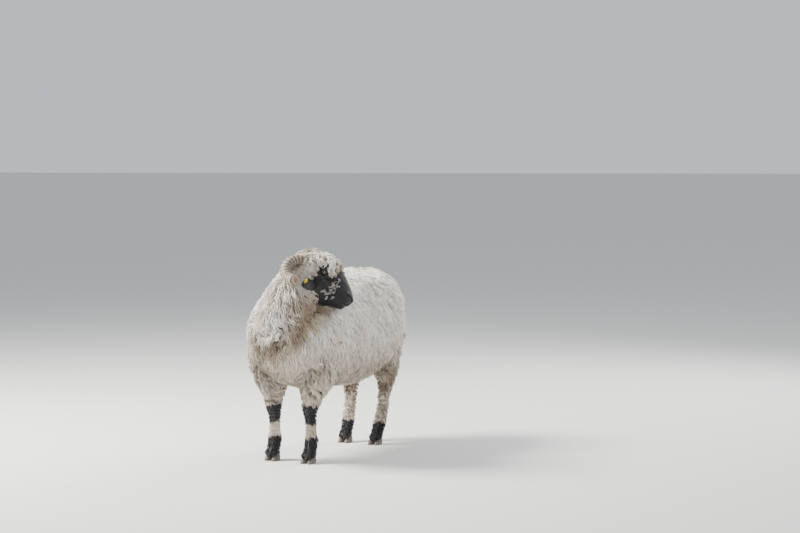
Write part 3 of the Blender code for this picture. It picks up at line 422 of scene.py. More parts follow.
def tube(rings: Array, tint: Array, flow: Array | None = None) -> Surface:
    """A closed surface over rings of points, each end drawn to the middle of its last ring.

    Args:
        rings: Points, ring by ring round the tube.
        tint: A colour for each of them.
        flow: Where each lies along and round the piece, for patterns that follow it.

    Returns:
        The surface.
    """
    count, sides = rings.shape[:2]
    around, beside = np.arange(sides), (np.arange(sides) + 1) % sides
    pole, final = np.full(sides, count * sides), (count - 1) * sides
    first = np.stack([pole, beside, around], -1)
    last = np.stack([pole + 1, final + around, final + beside], -1)

    def with_poles(values: Array) -> Array:
        """The values ring by ring, then the mean of the first ring and of the last."""
        return np.vstack([values.reshape(-1, values.shape[-1]), values[0].mean(0), values[-1].mean(0)])

    triangles = np.concatenate([walls(count, sides), first, last])
    along = None if flow is None else with_poles(flow)
    return Surface(with_poles(rings), triangles, with_poles(tint), along).outward()


class Grain(Enum):
    """How a finish's noise is stretched along its piece, round it and across it, or that it isn't."""

    EVEN = None
    HAIR = (0.14, 1, 1)
    HORN = (1, 0.12, 1)


def wire(tree: bpy.types.NodeTree, made: bpy.types.Node, inputs: dict) -> bpy.types.Node:
    """Sets a node's inputs: a value that is a socket is linked, and any other is the input's own value.

    Args:
        tree: The material's nodes.
        made: The node.
        inputs: Values or sockets by the input's name or number.

    Returns:
        The node.
    """
    for name, value in inputs.items():
        if isinstance(value, bpy.types.NodeSocket):
            tree.links.new(value, made.inputs[name])
        else:
            made.inputs[name].default_value = value
    return made


def stored(tree: bpy.types.NodeTree, name: str) -> bpy.types.Node:
    """A node that reads an attribute of the mesh.

    Args:
        tree: The material's nodes.
        name: The attribute's name.

    Returns:
        The node.
    """
    made = tree.nodes.new("ShaderNodeAttribute")
    made.attribute_name = name
    return made


@dataclass(frozen=True)
class Finish:
    """A finish: the piece's own tint under a mottle of noise, with a fine relief.

    The colour is the tint attribute times a noise of `patches` steps a metre that runs from 1 - mottle to
    1 + mottle. The relief is a noise of the same kind, of `fine` steps a metre and `relief` metres high.
    """

    name: str
    grain: Grain
    roughness: float
    mottle: float
    patches: float
    fine: float
    relief: float
    sheen: float = 0.0
    gloss: float = 0.0
    specular: float = 0.5
    sheen_roughness: float = 0.4
    gloss_roughness: float = 0.04
    mottle_span: tuple[float, float] = (0.3, 0.7)
    mottle_detail: float = 4.0
    relief_detail: float = 3.0

    def material(self) -> bpy.types.Material:
        """The finish's material, made once.

        Returns:
            The material.
        """
        made = bpy.data.materials.get(self.name)
        if made:
            return made
        made = bpy.data.materials.new(self.name)
        made.use_nodes = True
        tree = made.node_tree
        look = {
            "Roughness": self.roughness,
            "Sheen Weight": self.sheen,
            "Sheen Roughness": self.sheen_roughness,
            "Coat Weight": self.gloss,
            "Coat Roughness": self.gloss_roughness,
            "Specular IOR Level": self.specular,
            "Base Color": self.colour(tree),
        }
        if self.relief:
            raised = {"Strength": 1.0, "Distance": self.relief}
            raised["Height"] = self.noise(tree, self.fine, self.relief_detail)
            look["Normal"] = wire(tree, tree.nodes.new("ShaderNodeBump"), raised).outputs["Normal"]
        wire(tree, tree.nodes["Principled BSDF"], look)
        return made

    def where(self, tree: bpy.types.NodeTree) -> bpy.types.NodeSocket:
        """Where the noises are read: along the piece for hair and horn, else in the object's own axes.

        Args:
            tree: The material's nodes.

        Returns:
            The socket that holds it.
        """
        if self.grain is Grain.EVEN:
            return tree.nodes.new("ShaderNodeTexCoord").outputs["Object"]
        inputs = {"Scale": self.grain.value, "Vector": stored(tree, "flow").outputs["Vector"]}
        return wire(tree, tree.nodes.new("ShaderNodeMapping"), inputs).outputs["Vector"]

    def noise(self, tree: bpy.types.NodeTree, steps: float, detail: float) -> bpy.types.NodeSocket:
        """A noise of so many steps a metre, with so many finer layers."""
        inputs = {"Scale": steps, "Detail": detail, "Vector": self.where(tree)}
        return wire(tree, tree.nodes.new("ShaderNodeTexNoise"), inputs).outputs["Fac"]

    def colour(self, tree: bpy.types.NodeTree) -> bpy.types.NodeSocket:
        """The tint attribute times the mottling noise.

        Args:
            tree: The material's nodes.

        Returns:
            The socket that holds the colour.
        """
        shade = {
            "From Min": self.mottle_span[0],
            "From Max": self.mottle_span[1],
            "To Min": 1 - self.mottle,
            "To Max": 1 + self.mottle,
            "Value": self.noise(tree, self.patches, self.mottle_detail),
        }
        scale = wire(tree, tree.nodes.new("ShaderNodeMapRange"), shade).outputs["Result"]
        scaled = tree.nodes.new("ShaderNodeVectorMath")
        scaled.operation = "SCALE"
        inputs = {0: stored(tree, "tint").outputs["Color"], "Scale": scale}
        return wire(tree, scaled, inputs).outputs["Vector"]


WOOL = Finish("crimped_wool", Grain.EVEN, 0.80, 0.08, 60, 900, 0.0008, sheen=0.35, specular=0.25)
SKIN = Finish("skin_and_short_fur", Grain.HAIR, 0.60, 0.30, 300, 1400, 0.0012, sheen=0.06, specular=0.35)
FUR = Finish("short_black_fur", Grain.EVEN, 0.50, 0.25, 120, 1200, 0.0004, sheen=0.06, specular=0.40)
HORN = Finish("ringed_horn", Grain.HORN, 0.48, 0.25, 260, 1100, 0.0010, specular=0.4)
CLAW = Finish("claw_horn", Grain.HORN, 0.50, 0.20, 200, 900, 0.0005, specular=0.4)
EYE = Finish("wet_eye", Grain.EVEN, 0.12, 0.15, 900, 600, 0.0, gloss=1.0)
TAG = Finish("moulded_tag", Grain.EVEN, 0.42, 0.06, 90, 500, 0.00015)


@dataclass
class Markings:
    """Where the coat is white, stained, dirty, darkened by painted shade or black: colours of points, for the
    skin and the wool alike.

    A band is four heights: where it starts, is full, is still full and ends. An edge is two values: where it
    starts and where it is full.
    """

    cream: Point = (0.93, 0.89, 0.82)
    straw: Point = (0.54, 0.42, 0.29)
    brown: Point = (0.17, 0.115, 0.070)
    grey: Point = (0.48, 0.45, 0.42)
    black: Point = (0.015, 0.014, 0.016)
    knee: tuple[float, float, float, float] = (0.156, 0.168, 0.236, 0.252)
    hock: tuple[float, float, float, float] = (0.268, 0.284, 0.330, 0.345)
    fore_foot: tuple[float, float] = (0.112, 0.102)
    hind_foot: tuple[float, float] = (0.106, 0.096)
    hock_front: tuple[float, float] = (0.285, 0.300)
    hock_inside: tuple[float, float] = (0.106, 0.092)
    hock_on_left: float = 0.022
    # Straw from above to below: partly a stain, partly painted shade under the body.
    stain_and_shade_from: tuple[float, float] = (0.58, 0.36)
    # Dirt on the legs, in a band that reaches up under the belly as painted shade.
    dirt_and_belly_shade: tuple[float, float, float, float] = (0.14, 0.30, 0.36, 0.46)
    dirty_tail: tuple[float, float, float, float] = (0.44, 0.47, 0.58, 0.64)
    tail_from: tuple[float, float] = (0.470, 0.500)
    hind_from: tuple[float, float] = (0.05, 0.20)
    dirty_hock: tuple[float, float] = (0.42, 0.34)
    # Heights over which the crease's brown grows towards its bottom: partly a stain, partly painted shade.
    low_crease: tuple[float, float] = (0.58, 0.51)
    # The most that the brown of dirt and painted shade may cover.
    most_dirt_and_shade: float = 0.8
    ragged: float = 0.008
    throat: Point = (0.115, -0.385, 0.665)
    throat_reach: float = 0.070
    crease_reach: float = 0.044
    crease: tuple[Point, ...] = (
        (0.140, -0.335, 0.640), (0.101, -0.416, 0.590), (0.077, -0.472, 0.511),
        (0.007, -0.461, 0.486), (-0.057, -0.459, 0.503),
    )
    ring_round_eye: tuple[float, float] = (0.032, 0.027)

    def body(self, points: Array) -> Array:
        """Cream above; straw towards the belly, the chest and the legs, partly a stain and partly painted
        shade under the body; brown in the crease, partly a stain and partly painted shade; brown with dirt on
        the legs and on the tail, and painted shade under the belly; with black knees, hocks and feet.

        Args:
            points: Points of the body as it stands.

        Returns:
            A colour for each.
        """
        at = points - STANCE
        speckle = cloud(points, Noise.SPECKLE)
        # The crease where neck meets chest, painted browner: partly a stain, partly painted shade.
        creased = self.in_crease(at) * (0.80 + 0.45 * speckle)
        throat = bump(np.linalg.norm(at - self.throat, axis=1), self.throat_reach) * (0.8 + 0.5 * speckle)
        patch = 0.6 * cloud(points, Noise.STAIN) + 0.4 * cloud(points, Noise.FINE_STAIN)
        # Straw towards the belly, the chest and the legs, partly a stain and partly painted shade under the
        # body, and more in the crease.
        stain_and_shade = 0.05 + 0.62 * ramp(at[:, 2], *self.stain_and_shade_from) + 0.30 * patch + 1.3 * creased + 0.9 * throat
        colour = mixed(self.cream, self.straw, np.clip(stain_and_shade, 0, 1))
        # Brown of dirt, with painted shade under the belly and in the crease.
        dirt_and_shade = np.maximum(self.dirt_and_shade(points, creased), 0.40 * throat)
        colour = mixed(colour, self.brown, np.clip(dirt_and_shade, 0, self.most_dirt_and_shade))
        return mixed(colour, self.black, self.blackness(points))

    def dirt_and_shade(self, points: Array, creased: Array) -> Array:
        """How brown the wool is painted: dirt on the legs, most on the hind ones, and on the tail; painted
        shade under the belly; and in the crease, partly stain and partly painted shade.

        Args:
            points: Points of the body as it stands.
            creased: How deep in the crease each lies.

        Returns:
            A share for each, which may lie outside 0 to 1.
        """
        _, y, z = (points - STANCE).T
        hind, speckle = ramp(y, *self.hind_from), cloud(points, Noise.FINE_DIRT)
        # Dirt on the legs, with painted shade under the belly where the band reaches up to it.
        dirt_and_shade = (0.42 + 0.25 * hind) * band(z, self.dirt_and_belly_shade) + 0.5 * (cloud(points, Noise.DIRT) - 0.35)
        dirt_and_shade += 0.65 * hind * ramp(z, *self.dirty_hock) * (0.15 + speckle)
        dirt_and_shade += 0.9 * ramp(y, *self.tail_from) * band(z, self.dirty_tail) * (1 + 0.4 * speckle)
        # The crease: partly a stain, partly painted shade, darker towards its bottom.
        return np.maximum(dirt_and_shade, (1.15 + 0.45 * ramp(z, *self.low_crease)) * creased - 0.30)

    def blackness(self, points: Array) -> Array:
        """How black the legs are: in bands with ragged edges on knees and feet, and inside the hocks.

        Args:
            points: Points of the body as it stands.

        Returns:
            A share from 0 to 1 for each.
        """
        x, y, z = (points - STANCE).T
        height = z + self.ragged * cloud(points, Noise.BLACK_EDGE)
        fore = np.maximum(band(height, self.knee), ramp(height, *self.fore_foot))
        hock = band(height, self.hock) * ramp(y, *self.hock_front)
        hock *= ramp(np.where(x > 0, x + self.hock_on_left, -x), *self.hock_inside)
        hind = np.maximum(hock, ramp(height, *self.hind_foot))
        return np.where(ramp(-y, 0.0, 0.02) > 0.5, fore, hind)

    def in_crease(self, points: Array) -> Array:
        """How near points lie to the crease where neck and chest meet: a bell of the distance to it. The
        markings paint it brown, partly a stain and partly painted shade.

        Args:
            points: Points before the sheep is centred.

        Returns:
            A share from 0 to 1 for each.
        """
        nearest = np.full(len(points), 1.0)
        corners = np.array(self.crease)
        for start, end in zip(corners[:-1], corners[1:]):
            middle = start + beside_line(points, start, end)[:, None] * (end - start)
            nearest = np.minimum(nearest, np.linalg.norm(points - middle, axis=1))
        return bump(nearest, self.crease_reach)

    def head(self, points: Array) -> Array:
        """Black ahead of a line from the jaw up behind the eye and over the forehead, and round each eye.

        Args:
            points: Points in the head's axes.

        Returns:
            A colour for each.
        """
        x, _, z = points.T
        line = 0.046 + 0.054 * ramp(z, 0.056, 0.072) + 0.055 * ramp(z, -0.015, -0.065)
        line += 0.010 * cloud(points, Noise.MASK_EDGE)
        pale = mixed(self.cream, self.straw, np.clip(0.30 + 0.5 * cloud(points, Noise.POLL) + 4 * -z, 0, 0.9))
        rings = ramp(Eye.nearest(points), *self.ring_round_eye)
        return mixed(pale, self.black, np.maximum(ramp(x, line - 0.008, line + 0.004), rings))


@dataclass
class Spots:
    """Spots on a loft: shares of its whole length, and angles that turn from its `side` towards its `up`."""

    place: Array
    angle: Array

    def __len__(self) -> int:
        """How many there are."""
        return len(self.place)

    def __getitem__(self, chosen: Array | slice) -> "Spots":
        """The chosen ones."""
        return Spots(self.place[chosen], self.angle[chosen])

    @staticmethod
    def net(places: Array, count: int) -> "Spots":
        """Every one of the places at so many even angles, place by place."""
        return Spots(*(part.ravel() for part in grid(places, turns(count))))


@dataclass
class Loft:
    """A mass of flesh: superellipse sections carried along a path, closed by half-ellipse domes.

    A row is the centre, half across, half towards `up`, half away from `up`, and last the coat's depth.
    """

    rows: Array
    side: Point = (1, 0, 0)
    up: Point = (0, 1, 0)
    follow: bool = False
    squareness: float = 0.92
    dome: float = 0.45
    thin_side: Point | None = None
    falls: Point = (0, 0, -1)
    parting: float = 0.0
    matrix: Array = field(default_factory=lambda: np.eye(4))
    fine_rows: int = 160
    dome_steps: int = 12
    dome_end: float = 0.02
    ends: tuple[float, float] = (0.002, 0.998)
    longest_step: float = 0.15
    widest_turn: float = 0.8

    def __post_init__(self) -> None:
        """Reads the smooth path, adds the domes and finds the sign with which normals point outwards."""
        body = smooth_rows(self.rows, self.fine_rows)
        turn = np.linspace(0, 0.5 * math.pi, self.dome_steps + 1)[1:, None]
        parts = []
        for end, beside in ((0, 1), (-1, -2)):
            way = unit(body[end, :3] - body[beside, :3])
            reach = self.dome * body[end, 3:5].min()
            cap = np.repeat(body[end][None], self.dome_steps, axis=0)
            cap[:, :3] += reach * np.sin(turn) * way
            cap[:, 3:6] *= np.maximum(np.cos(turn), self.dome_end)
            parts.append(cap)
        self.axis = np.vstack([parts[0][::-1], body, parts[1]])
        self.tangents = unit(np.gradient(self.axis[:, :3], axis=0))
        self.steps = np.linspace(0, 1, len(self.axis))
        self.sign = 1.0
        spot = Spots(np.array([0.5]), np.array([0.3]))
        away = self.skin(spot) - self.to_world(self.row_at(spot.place)[:, :3])
        if dot(self.normal(spot), away)[0, 0] < 0:
            self.sign = -1.0

    def to_world(self, points: Array) -> Array:
        """Points in the loft's own axes as points where the sheep stands."""
        return points @ self.matrix[:3, :3].T + self.matrix[:3, 3]

    def to_local(self, points: Array) -> Array:
        """Points where the sheep stands as points in the loft's own axes."""
        return (points - self.matrix[:3, 3]) @ self.matrix[:3, :3]

    def read(self, columns: Array, place: Array) -> Array:
        """Fine rows at places from 0 to 1, in straight lines between them."""
        return np.stack([np.interp(place, self.steps, column) for column in columns.T], axis=-1)

    def row_at(self, place: Array) -> Array:
        """The loft's rows at places from 0 to 1."""
        return self.read(self.axis, place)

    def place_at(self, column: int, value: float) -> float:
        """Where along the mass a falling coordinate of its path has that value."""
        return float(np.interp(-value, -self.axis[:, column], self.steps))

    def frame_at(self, place: Array) -> tuple[Array, Array]:
        """The section's side and up directions: fixed ones, or ones that stay square to the path.

        Args:
            place: Places from 0 to 1.

        Returns:
            Two arrays of unit vectors.
        """
        side, up = (np.broadcast_to(np.array(way, float), (len(place), 3)) for way in (self.side, self.up))
        if not self.follow:
            return side, up
        tangent = unit(self.read(self.tangents, place))
        up = unit(up - dot(up, tangent) * tangent)
        return unit(np.cross(up, tangent)), up

    def section(self, row: Array, angle: Array) -> tuple[Array, Array]:
        """Offsets across and up: the halves times the superellipse's cosine and sine."""
        c, s = superellipse(angle, self.squareness)
        return row[:, 3] * c, np.where(s > 0, row[:, 4], row[:, 5]) * s

    def skin_local(self, spots: Spots) -> Array:
        """Skin points in the loft's own axes: the centre plus the section's offsets along side and up.

        Args:
            spots: Where it is read.

        Returns:
            A point for each.
        """
        row = self.row_at(spots.place)
        side, up = self.frame_at(spots.place)
        across, rise = self.section(row, spots.angle)
        return row[:, :3] + across[:, None] * side + rise[:, None] * up

    def skin(self, spots: Spots) -> Array:
        """Skin points where the sheep stands."""
        return self.to_world(self.skin_local(spots))

    def above(self, spots: Spots, height: Array) -> Array:
        """Points that high above the skin, along its normals."""
        return self.skin(spots) + height[:, None] * self.normal(spots)

    def slopes(self, spots: Spots) -> tuple[Array, Array]:
        """How the skin point moves with the place and with the angle, as central differences.

        Args:
            spots: Where they are read.

        Returns:
            Two arrays of vectors, a unit of place and a unit of angle long.
        """
        place, angle, reach, turn = spots.place, spots.angle, 0.004, 0.01
        ahead, behind = np.minimum(place + reach, 1), np.maximum(place - reach, 0)
        along = (self.skin(Spots(ahead, angle)) - self.skin(Spots(behind, angle))) / (ahead - behind)[:, None]
        around = (self.skin(Spots(place, angle + turn)) - self.skin(Spots(place, angle - turn))) / (2 * turn)
        return along, around

    def normal(self, spots: Spots) -> Array:
        """Outward unit normals: the cross product of the two slopes."""
        return self.sign * unit(np.cross(*self.slopes(spots)))

    def area(self, spots: Spots) -> Array:
        """The skin's area for each unit of place and angle: the length of the slopes' cross product."""
        return np.linalg.norm(np.cross(*self.slopes(spots)), axis=1)

    def depth(self, spots: Spots) -> Array:
        """The coat's depth from the rows, less on the inner side of a leg.

        Args:
            spots: Where it is read.

        Returns:
            Metres from the skin to the coat's tips.
        """
        depth = self.row_at(spots.place)[:, -1]
        if self.thin_side is not None:
            facing = np.maximum(self.normal(spots) @ np.array(self.thin_side, float), 0)
            depth = depth * (1 - (1 - INNER_COAT) * facing)
        return depth

    def lie(self, spots: Spots) -> Array:
        """The way that the coat falls: its own direction, and on top away from the parting.

        Args:
            spots: Where it is read.

        Returns:
            A vector for each.
        """
        normal = self.normal(spots)
        away = np.zeros_like(normal)
        away[:, 0] = self.parting * np.maximum(normal[:, 2], 0) * normal[:, 0] / (np.abs(normal[:, 0]) + 0.04)
        return np.array(self.falls, float) + away

    def holds(self, points: Array, share: float) -> Array:
        """Which points lie inside: the squares of their offsets over the halves add up to less than 1.

        Args:
            points: Points where the sheep stands.
            share: How far the mass is grown for this, as a share of its coat.

        Returns:
            True for each that lies inside.
        """
        every, past_end = 4, 0.02
        rows = self.axis[::every]
        local = self.to_local(points)
        number = ((local[:, None] - rows[None, :, :3]) ** 2).sum(-1).argmin(1)
        row = rows[number]
        side, up = self.frame_at(number * every / (len(self.axis) - 1))
        offset = local - row[:, :3]
        across, rise = dot(offset, side)[:, 0], dot(offset, up)[:, 0]
        along = np.linalg.norm(offset - across[:, None] * side - rise[:, None] * up, axis=1)
        half_up, swell = np.where(rise > 0, row[:, 4], row[:, 5]), share * row[:, -1]
        inside = (across / (row[:, 3] + swell)) ** 2 + (rise / (half_up + swell)) ** 2 < 1
        return inside & (along < past_end + swell)

    def walk(self, spots: Spots, lie: Array, distance: Array) -> Spots:
        """Moves along the skin: the step in place and angle that least squares gives for a way and distance.

        Args:
            spots: Where each starts.
            lie: The way that each goes.
            distance: How far each goes.

        Returns:
            Where they come to.
        """
        along, around = self.slopes(spots)
        normal = self.sign * unit(np.cross(along, around))
        step = unit(lie - dot(lie, normal) * normal) * distance[:, None]
        aa, bb, ab = (dot(u, v)[:, 0] for u, v in ((along, along), (around, around), (along, around)))
        sa, sb = dot(step, along)[:, 0], dot(step, around)[:, 0]
        bb = bb + 1e-6
        scale = np.maximum(aa * bb - ab * ab, 1e-12)
        forward = np.clip((sa * bb - sb * ab) / scale, -self.longest_step, self.longest_step)
        turn = np.clip((sb * aa - sa * ab) / scale, -self.widest_turn, self.widest_turn)
        return Spots(np.clip(spots.place + forward, *self.ends), spots.angle + turn)

    def spots(self, density: float, seed: int) -> Spots:
        """Even spots: a low-discrepancy series in place and angle, shaken, and thinned to the skin's area.

        Args:
            density: Spots a square metre.
            seed: Shifts the series.

        Returns:
            The spots.
        """
        most = 1.05 * self.area(Spots.net(np.linspace(0.01, 0.99, 90), 24)).max()
        tries = int(density * most * FULL_TURN)
        ratio, shift, shake, sway = 1.2207440846, 0.37, 0.008, 0.02
        series = (np.arange(tries)[:, None] / ratio ** np.arange(1, 4) + shift * seed) % 1.0
        draw = np.random.default_rng(seed)
        place = np.clip(series[:, 0] + draw.uniform(-shake, shake, tries), 0.003, 0.997)
        spots = Spots(place, (series[:, 1] + draw.uniform(-sway, sway, tries)) * FULL_TURN)
        return spots[series[:, 2] * most < self.area(spots)]


class HeadLoft(Loft):
    """The head's skin in its own axes: X to the nose, Y to its left, Z to its crown.

    A row has two more values before the fur's depth: how far the section draws in at crown and jaw.
    """

    def section(self, row: Array, angle: Array) -> tuple[Array, Array]:
        """The plain section, narrower by the drawing-in times the square of the height."""
        (across, rise), s = super().section(row, angle), np.sin(angle)
        return across * (1 - np.where(s > 0, row[:, 6], row[:, 7]) * s**2), rise

    def depth(self, spots: Spots) -> Array:
        """The wool's depth on the crown, the sides and under the jaw, blended by the height on the section.

        Args:
            spots: Where it is read.

        Returns:
            Metres from the skin to the coat's tips.
        """
        steps, crown, side, jaw = np.array(HEAD_WOOL).T
        along, height = self.row_at(spots.place)[:, 0], np.sin(spots.angle)
        on_crown, on_jaw = ramp(height, 0.50, 0.85), ramp(height, -0.25, -0.75)
        sides = np.interp(along, steps, side) * (1 - on_crown) * (1 - on_jaw)
        return np.interp(along, steps, crown) * on_crown + np.interp(along, steps, jaw) * on_jaw + sides

    def lie(self, spots: Spots) -> Array:
        """On the crown forward and to both sides, and below it back and down.

        Args:
            spots: Where it is read.

        Returns:
            A vector for each.
        """
        across, ones = np.cos(spots.angle), np.ones(len(spots))
        crown = np.stack([0.9 * ones, 1.1 * across, 0.1 * ones], -1)
        jaw = np.stack([-0.8 * ones, 0.4 * across, -0.9 * ones], -1)
        return mixed(jaw, crown, ramp(np.sin(spots.angle), 0.2, 0.6)) @ self.matrix[:3, :3].T


def placed(rows: Array) -> Array:
    """Rows with their centres moved to where the sheep stands."""
    return rows + np.pad(STANCE, (0, rows.shape[1] - 3))


def torso_rows() -> Array:
    """Loft rows from the torso's: the centre lies midway between back and belly.

    Returns:
        Loft rows.
    """
    y, back, belly, wide, coat = np.array(TORSO_ROWS).T
    half = 0.5 * (back - belly)
    return placed(np.stack([0 * y, y, belly + half, wide, half, half, coat], -1))


def even_rows(rows: tuple) -> Array:
    """Loft rows from the ones that give a single half for front and back."""
    return placed(np.array(rows)[:, [0, 1, 2, 3, 4, 4, 5]])


def leg_rows(rows: tuple, side: int, step: tuple[float, float]) -> Array:
    """A leg's rows, mirrored for the right side, its foot stepped off by a share that grows as a square.

    Args:
        rows: The left leg's rows.
        side: 1 for the left leg, -1 for the right one.
        step: How far the foot is moved, forward and across.

    Returns:
        Loft rows.
    """
    rows = np.array(rows, float)
    rows[:, 0] *= side
    foot = 1 - (rows[:, 2] - rows[-1, 2]) / (rows[0, 2] - rows[-1, 2])
    rows[:, 1] += step[0] * foot**2
    rows[:, 0] += step[1] * foot**2
    rows[:, [4, 5]] = rows[:, [5, 4]]
    return placed(rows)


def head_rows() -> Array:
    """Loft rows from the head's: the centre lies midway between top and underside.

    Returns:
        Loft rows.
    """
    s, top, low, wide, crown, jaw, fur = np.array(HEAD_ROWS).T
    half = 0.5 * (top - low)
    return np.stack([s, 0 * s, low + half, wide, half, half, crown, jaw, fur], -1)


def head_matrix() -> Array:
    """From the head's own axes to the sheep's: turned about the upright, then nodded.

    Returns:
        A 4 by 4 matrix.
    """
    turn, nod = HEAD_TURN, HEAD_NOD
    ahead = np.array([math.sin(turn) * math.cos(nod), -math.cos(turn) * math.cos(nod), -math.sin(nod)])
    left = np.array([math.cos(turn), math.sin(turn), 0.0])
    return matrix_of(ahead, left, np.cross(ahead, left), SKULL_ROOT + STANCE)


class Masses:
    """The lofts of the whole sheep."""

    def __init__(self) -> None:
        """Makes every loft from its rows."""
        self.markings = Markings()
        self.torso = Loft(torso_rows(), up=(0, 0, 1), falls=(0, 0.40, -1), parting=1.3)
        self.neck = Loft(even_rows(NECK_ROWS), follow=True, falls=(0, 0.15, -1))
        self.tail = Loft(even_rows(TAIL_ROWS), follow=True, falls=(0, 0.10, -1))
        self.head = self.head_as(HeadLoft)
        self.legs = {}
        for name, rows, right_step, falls in (
            ("foreleg", FORELEG_ROWS, RIGHT_FORE_STEP, (0, 0, -1)),
            ("hindleg", HINDLEG_ROWS, RIGHT_HIND_STEP, (0, 0.25, -1)),
        ):
            for word, side, step in (("left", 1, (0.0, 0.0)), ("right", -1, right_step)):
                loft = Loft(leg_rows(rows, side, step), thin_side=(-side, 0, 0), falls=falls)
                self.legs[f"{name}_{word}"] = loft

    @staticmethod
    def head_as(kind: type[HeadLoft]) -> HeadLoft:
        """The head as a loft of that kind."""
        shape = {"side": (0, 1, 0), "up": (0, 0, 1), "squareness": 0.90, "dome": 0.20}
        return kind(head_rows(), matrix=head_matrix(), **shape)

    def flesh(self) -> list[Loft]:
        """Every mass but the head."""
        return [self.torso, self.neck, self.tail, *self.legs.values()]


@dataclass
class Eye:
    """An eye: a ball with a level slot of a pupil, and the collar of its two lids round an almond opening."""

    side: int
    place: Point = (0.078, 0.0505, 0.054)
    radius: float = 0.0135
    pole_density: float = 0.35
    lid: float = 0.0030
    lid_gap: float = 0.0004
    lid_reach: float = 1.75
    fold: float = 0.0010
    rim: float = 0.0012
    half_length: float = 0.0128
    half_height: float = 0.0075
    pupil: tuple[float, float] = (0.0052, 0.0022)
    iris: float = 0.0100
    spokes: int = 23
    pupil_black: Point = (0.003, 0.003, 0.004)
    iris_brown: Point = (0.085, 0.040, 0.014)
    spoke_brown: Point = (0.035, 0.017, 0.008)
    white: Point = (0.030, 0.018, 0.012)

    @property
    def centre(self) -> Array:
        """The middle of the eyeball in the head's axes."""
        return mirrored(self.place, self.side)

    @staticmethod
    def nearest(points: Array) -> Array:
        """How far points in the head's axes lie from the middle of the nearer eye."""
        return np.min([np.linalg.norm(points - Eye(side).centre, axis=1) for side in (1, -1)], axis=0)

    def on_ball(self, polar: Array, bearing: Array, radius: Array) -> Array:
        """Points round the eye's middle: the polar angle is 0 straight out of the head's side."""
        flat = np.sin(polar) * radius
        out = self.side * np.cos(polar) * radius
        return np.stack(np.broadcast_arrays(flat * np.cos(bearing), out, flat * np.sin(bearing)), -1)

    def ball(self) -> Surface:
        """The eyeball: a sphere whose colour goes from the slot of the pupil over the iris to the dark white.

        Returns:
            The surface in the head's axes.
        """
        polar, turn = grid(np.linspace(0, math.pi, 50)[1:-1], turns(64))
        polar = polar - self.pole_density * np.sin(polar)
        points = self.on_ball(polar, turn, self.radius)
        x, z = points[..., 0], points[..., 2]
        slot = (np.abs(x) / self.pupil[0]) ** 3 + (np.abs(z) / self.pupil[1]) ** 3
        out = np.hypot(x, z)
        spokes = 0.5 + 0.5 * np.cos(self.spokes * turn) * ramp(out, 0.002, 0.008)
        past_iris = np.maximum(ramp(out, 0.84 * self.iris, self.iris), polar > 1.6)
        tint = mixed(mixed(self.iris_brown, self.spoke_brown, spokes), self.white, past_iris)
        return tube(points + self.centre, mixed(self.pupil_black, tint, ramp(slot, 0.8, 1.2)))

    def lids(self, black: Point) -> Surface:
        """The lids: a collar of skin from the almond's edge over the ball into the socket, and back inside.

        The almond is an ellipse, flatter towards its two corners. Along the outer sheet the polar angle grows
        from the almond's edge to past the ball's side, and on the inner one it returns. The upper lid folds.

        Args:
            black: The skin's colour.

        Returns:
            The surface in the head's axes.
        """
        turn, share = turns(96), np.linspace(0, 1, 16)
        x = self.half_length * np.cos(turn)
        z = self.half_height * np.sin(turn) * (1 - 0.25 * np.cos(turn) ** 2)
        outer = self.radius + self.lid
        start = np.arcsin(np.hypot(x, z) / outer)
        polar = start + (self.lid_reach - start) * share[:, None] ** 1.5
        fold = self.fold * bump(share - 0.22, 0.07)[:, None] * ramp(np.sin(turn), 0.0, 0.6)
        rim = self.rim * (1 - ramp(share, 0.0, 0.12))[:, None]
        inside = np.full_like(polar, self.radius + self.lid_gap)
        radius = np.concatenate([outer - rim - fold, inside])
        rings = self.on_ball(np.concatenate([polar, polar[::-1]]), np.arctan2(z, x), radius)
        points = rings.reshape(-1, 3) + self.centre
        return Surface(points, walls(*rings.shape[:2], looped=True), plain(points, black), points).outward()


@dataclass(frozen=True)
class Form:
    """A soft form on the head's side: `height` times a bell of the stretched distance from its middle.

    `lean` is how far its long axis sinks in z for each metre ahead in x.
    """

    height: float
    x: float
    z: float
    reach: float
    stretch: tuple[float, float] = (1.0, 1.0)
    lean: float = 0.0

    def rise(self, x: Array, z: Array) -> Array:
        """How far it lifts the skin at points seen from the side."""
        ahead, above = x - self.x, z - self.z + self.lean * (x - self.x)
        return self.height * bump(np.hypot(self.stretch[0] * ahead, self.stretch[1] * above), self.reach)


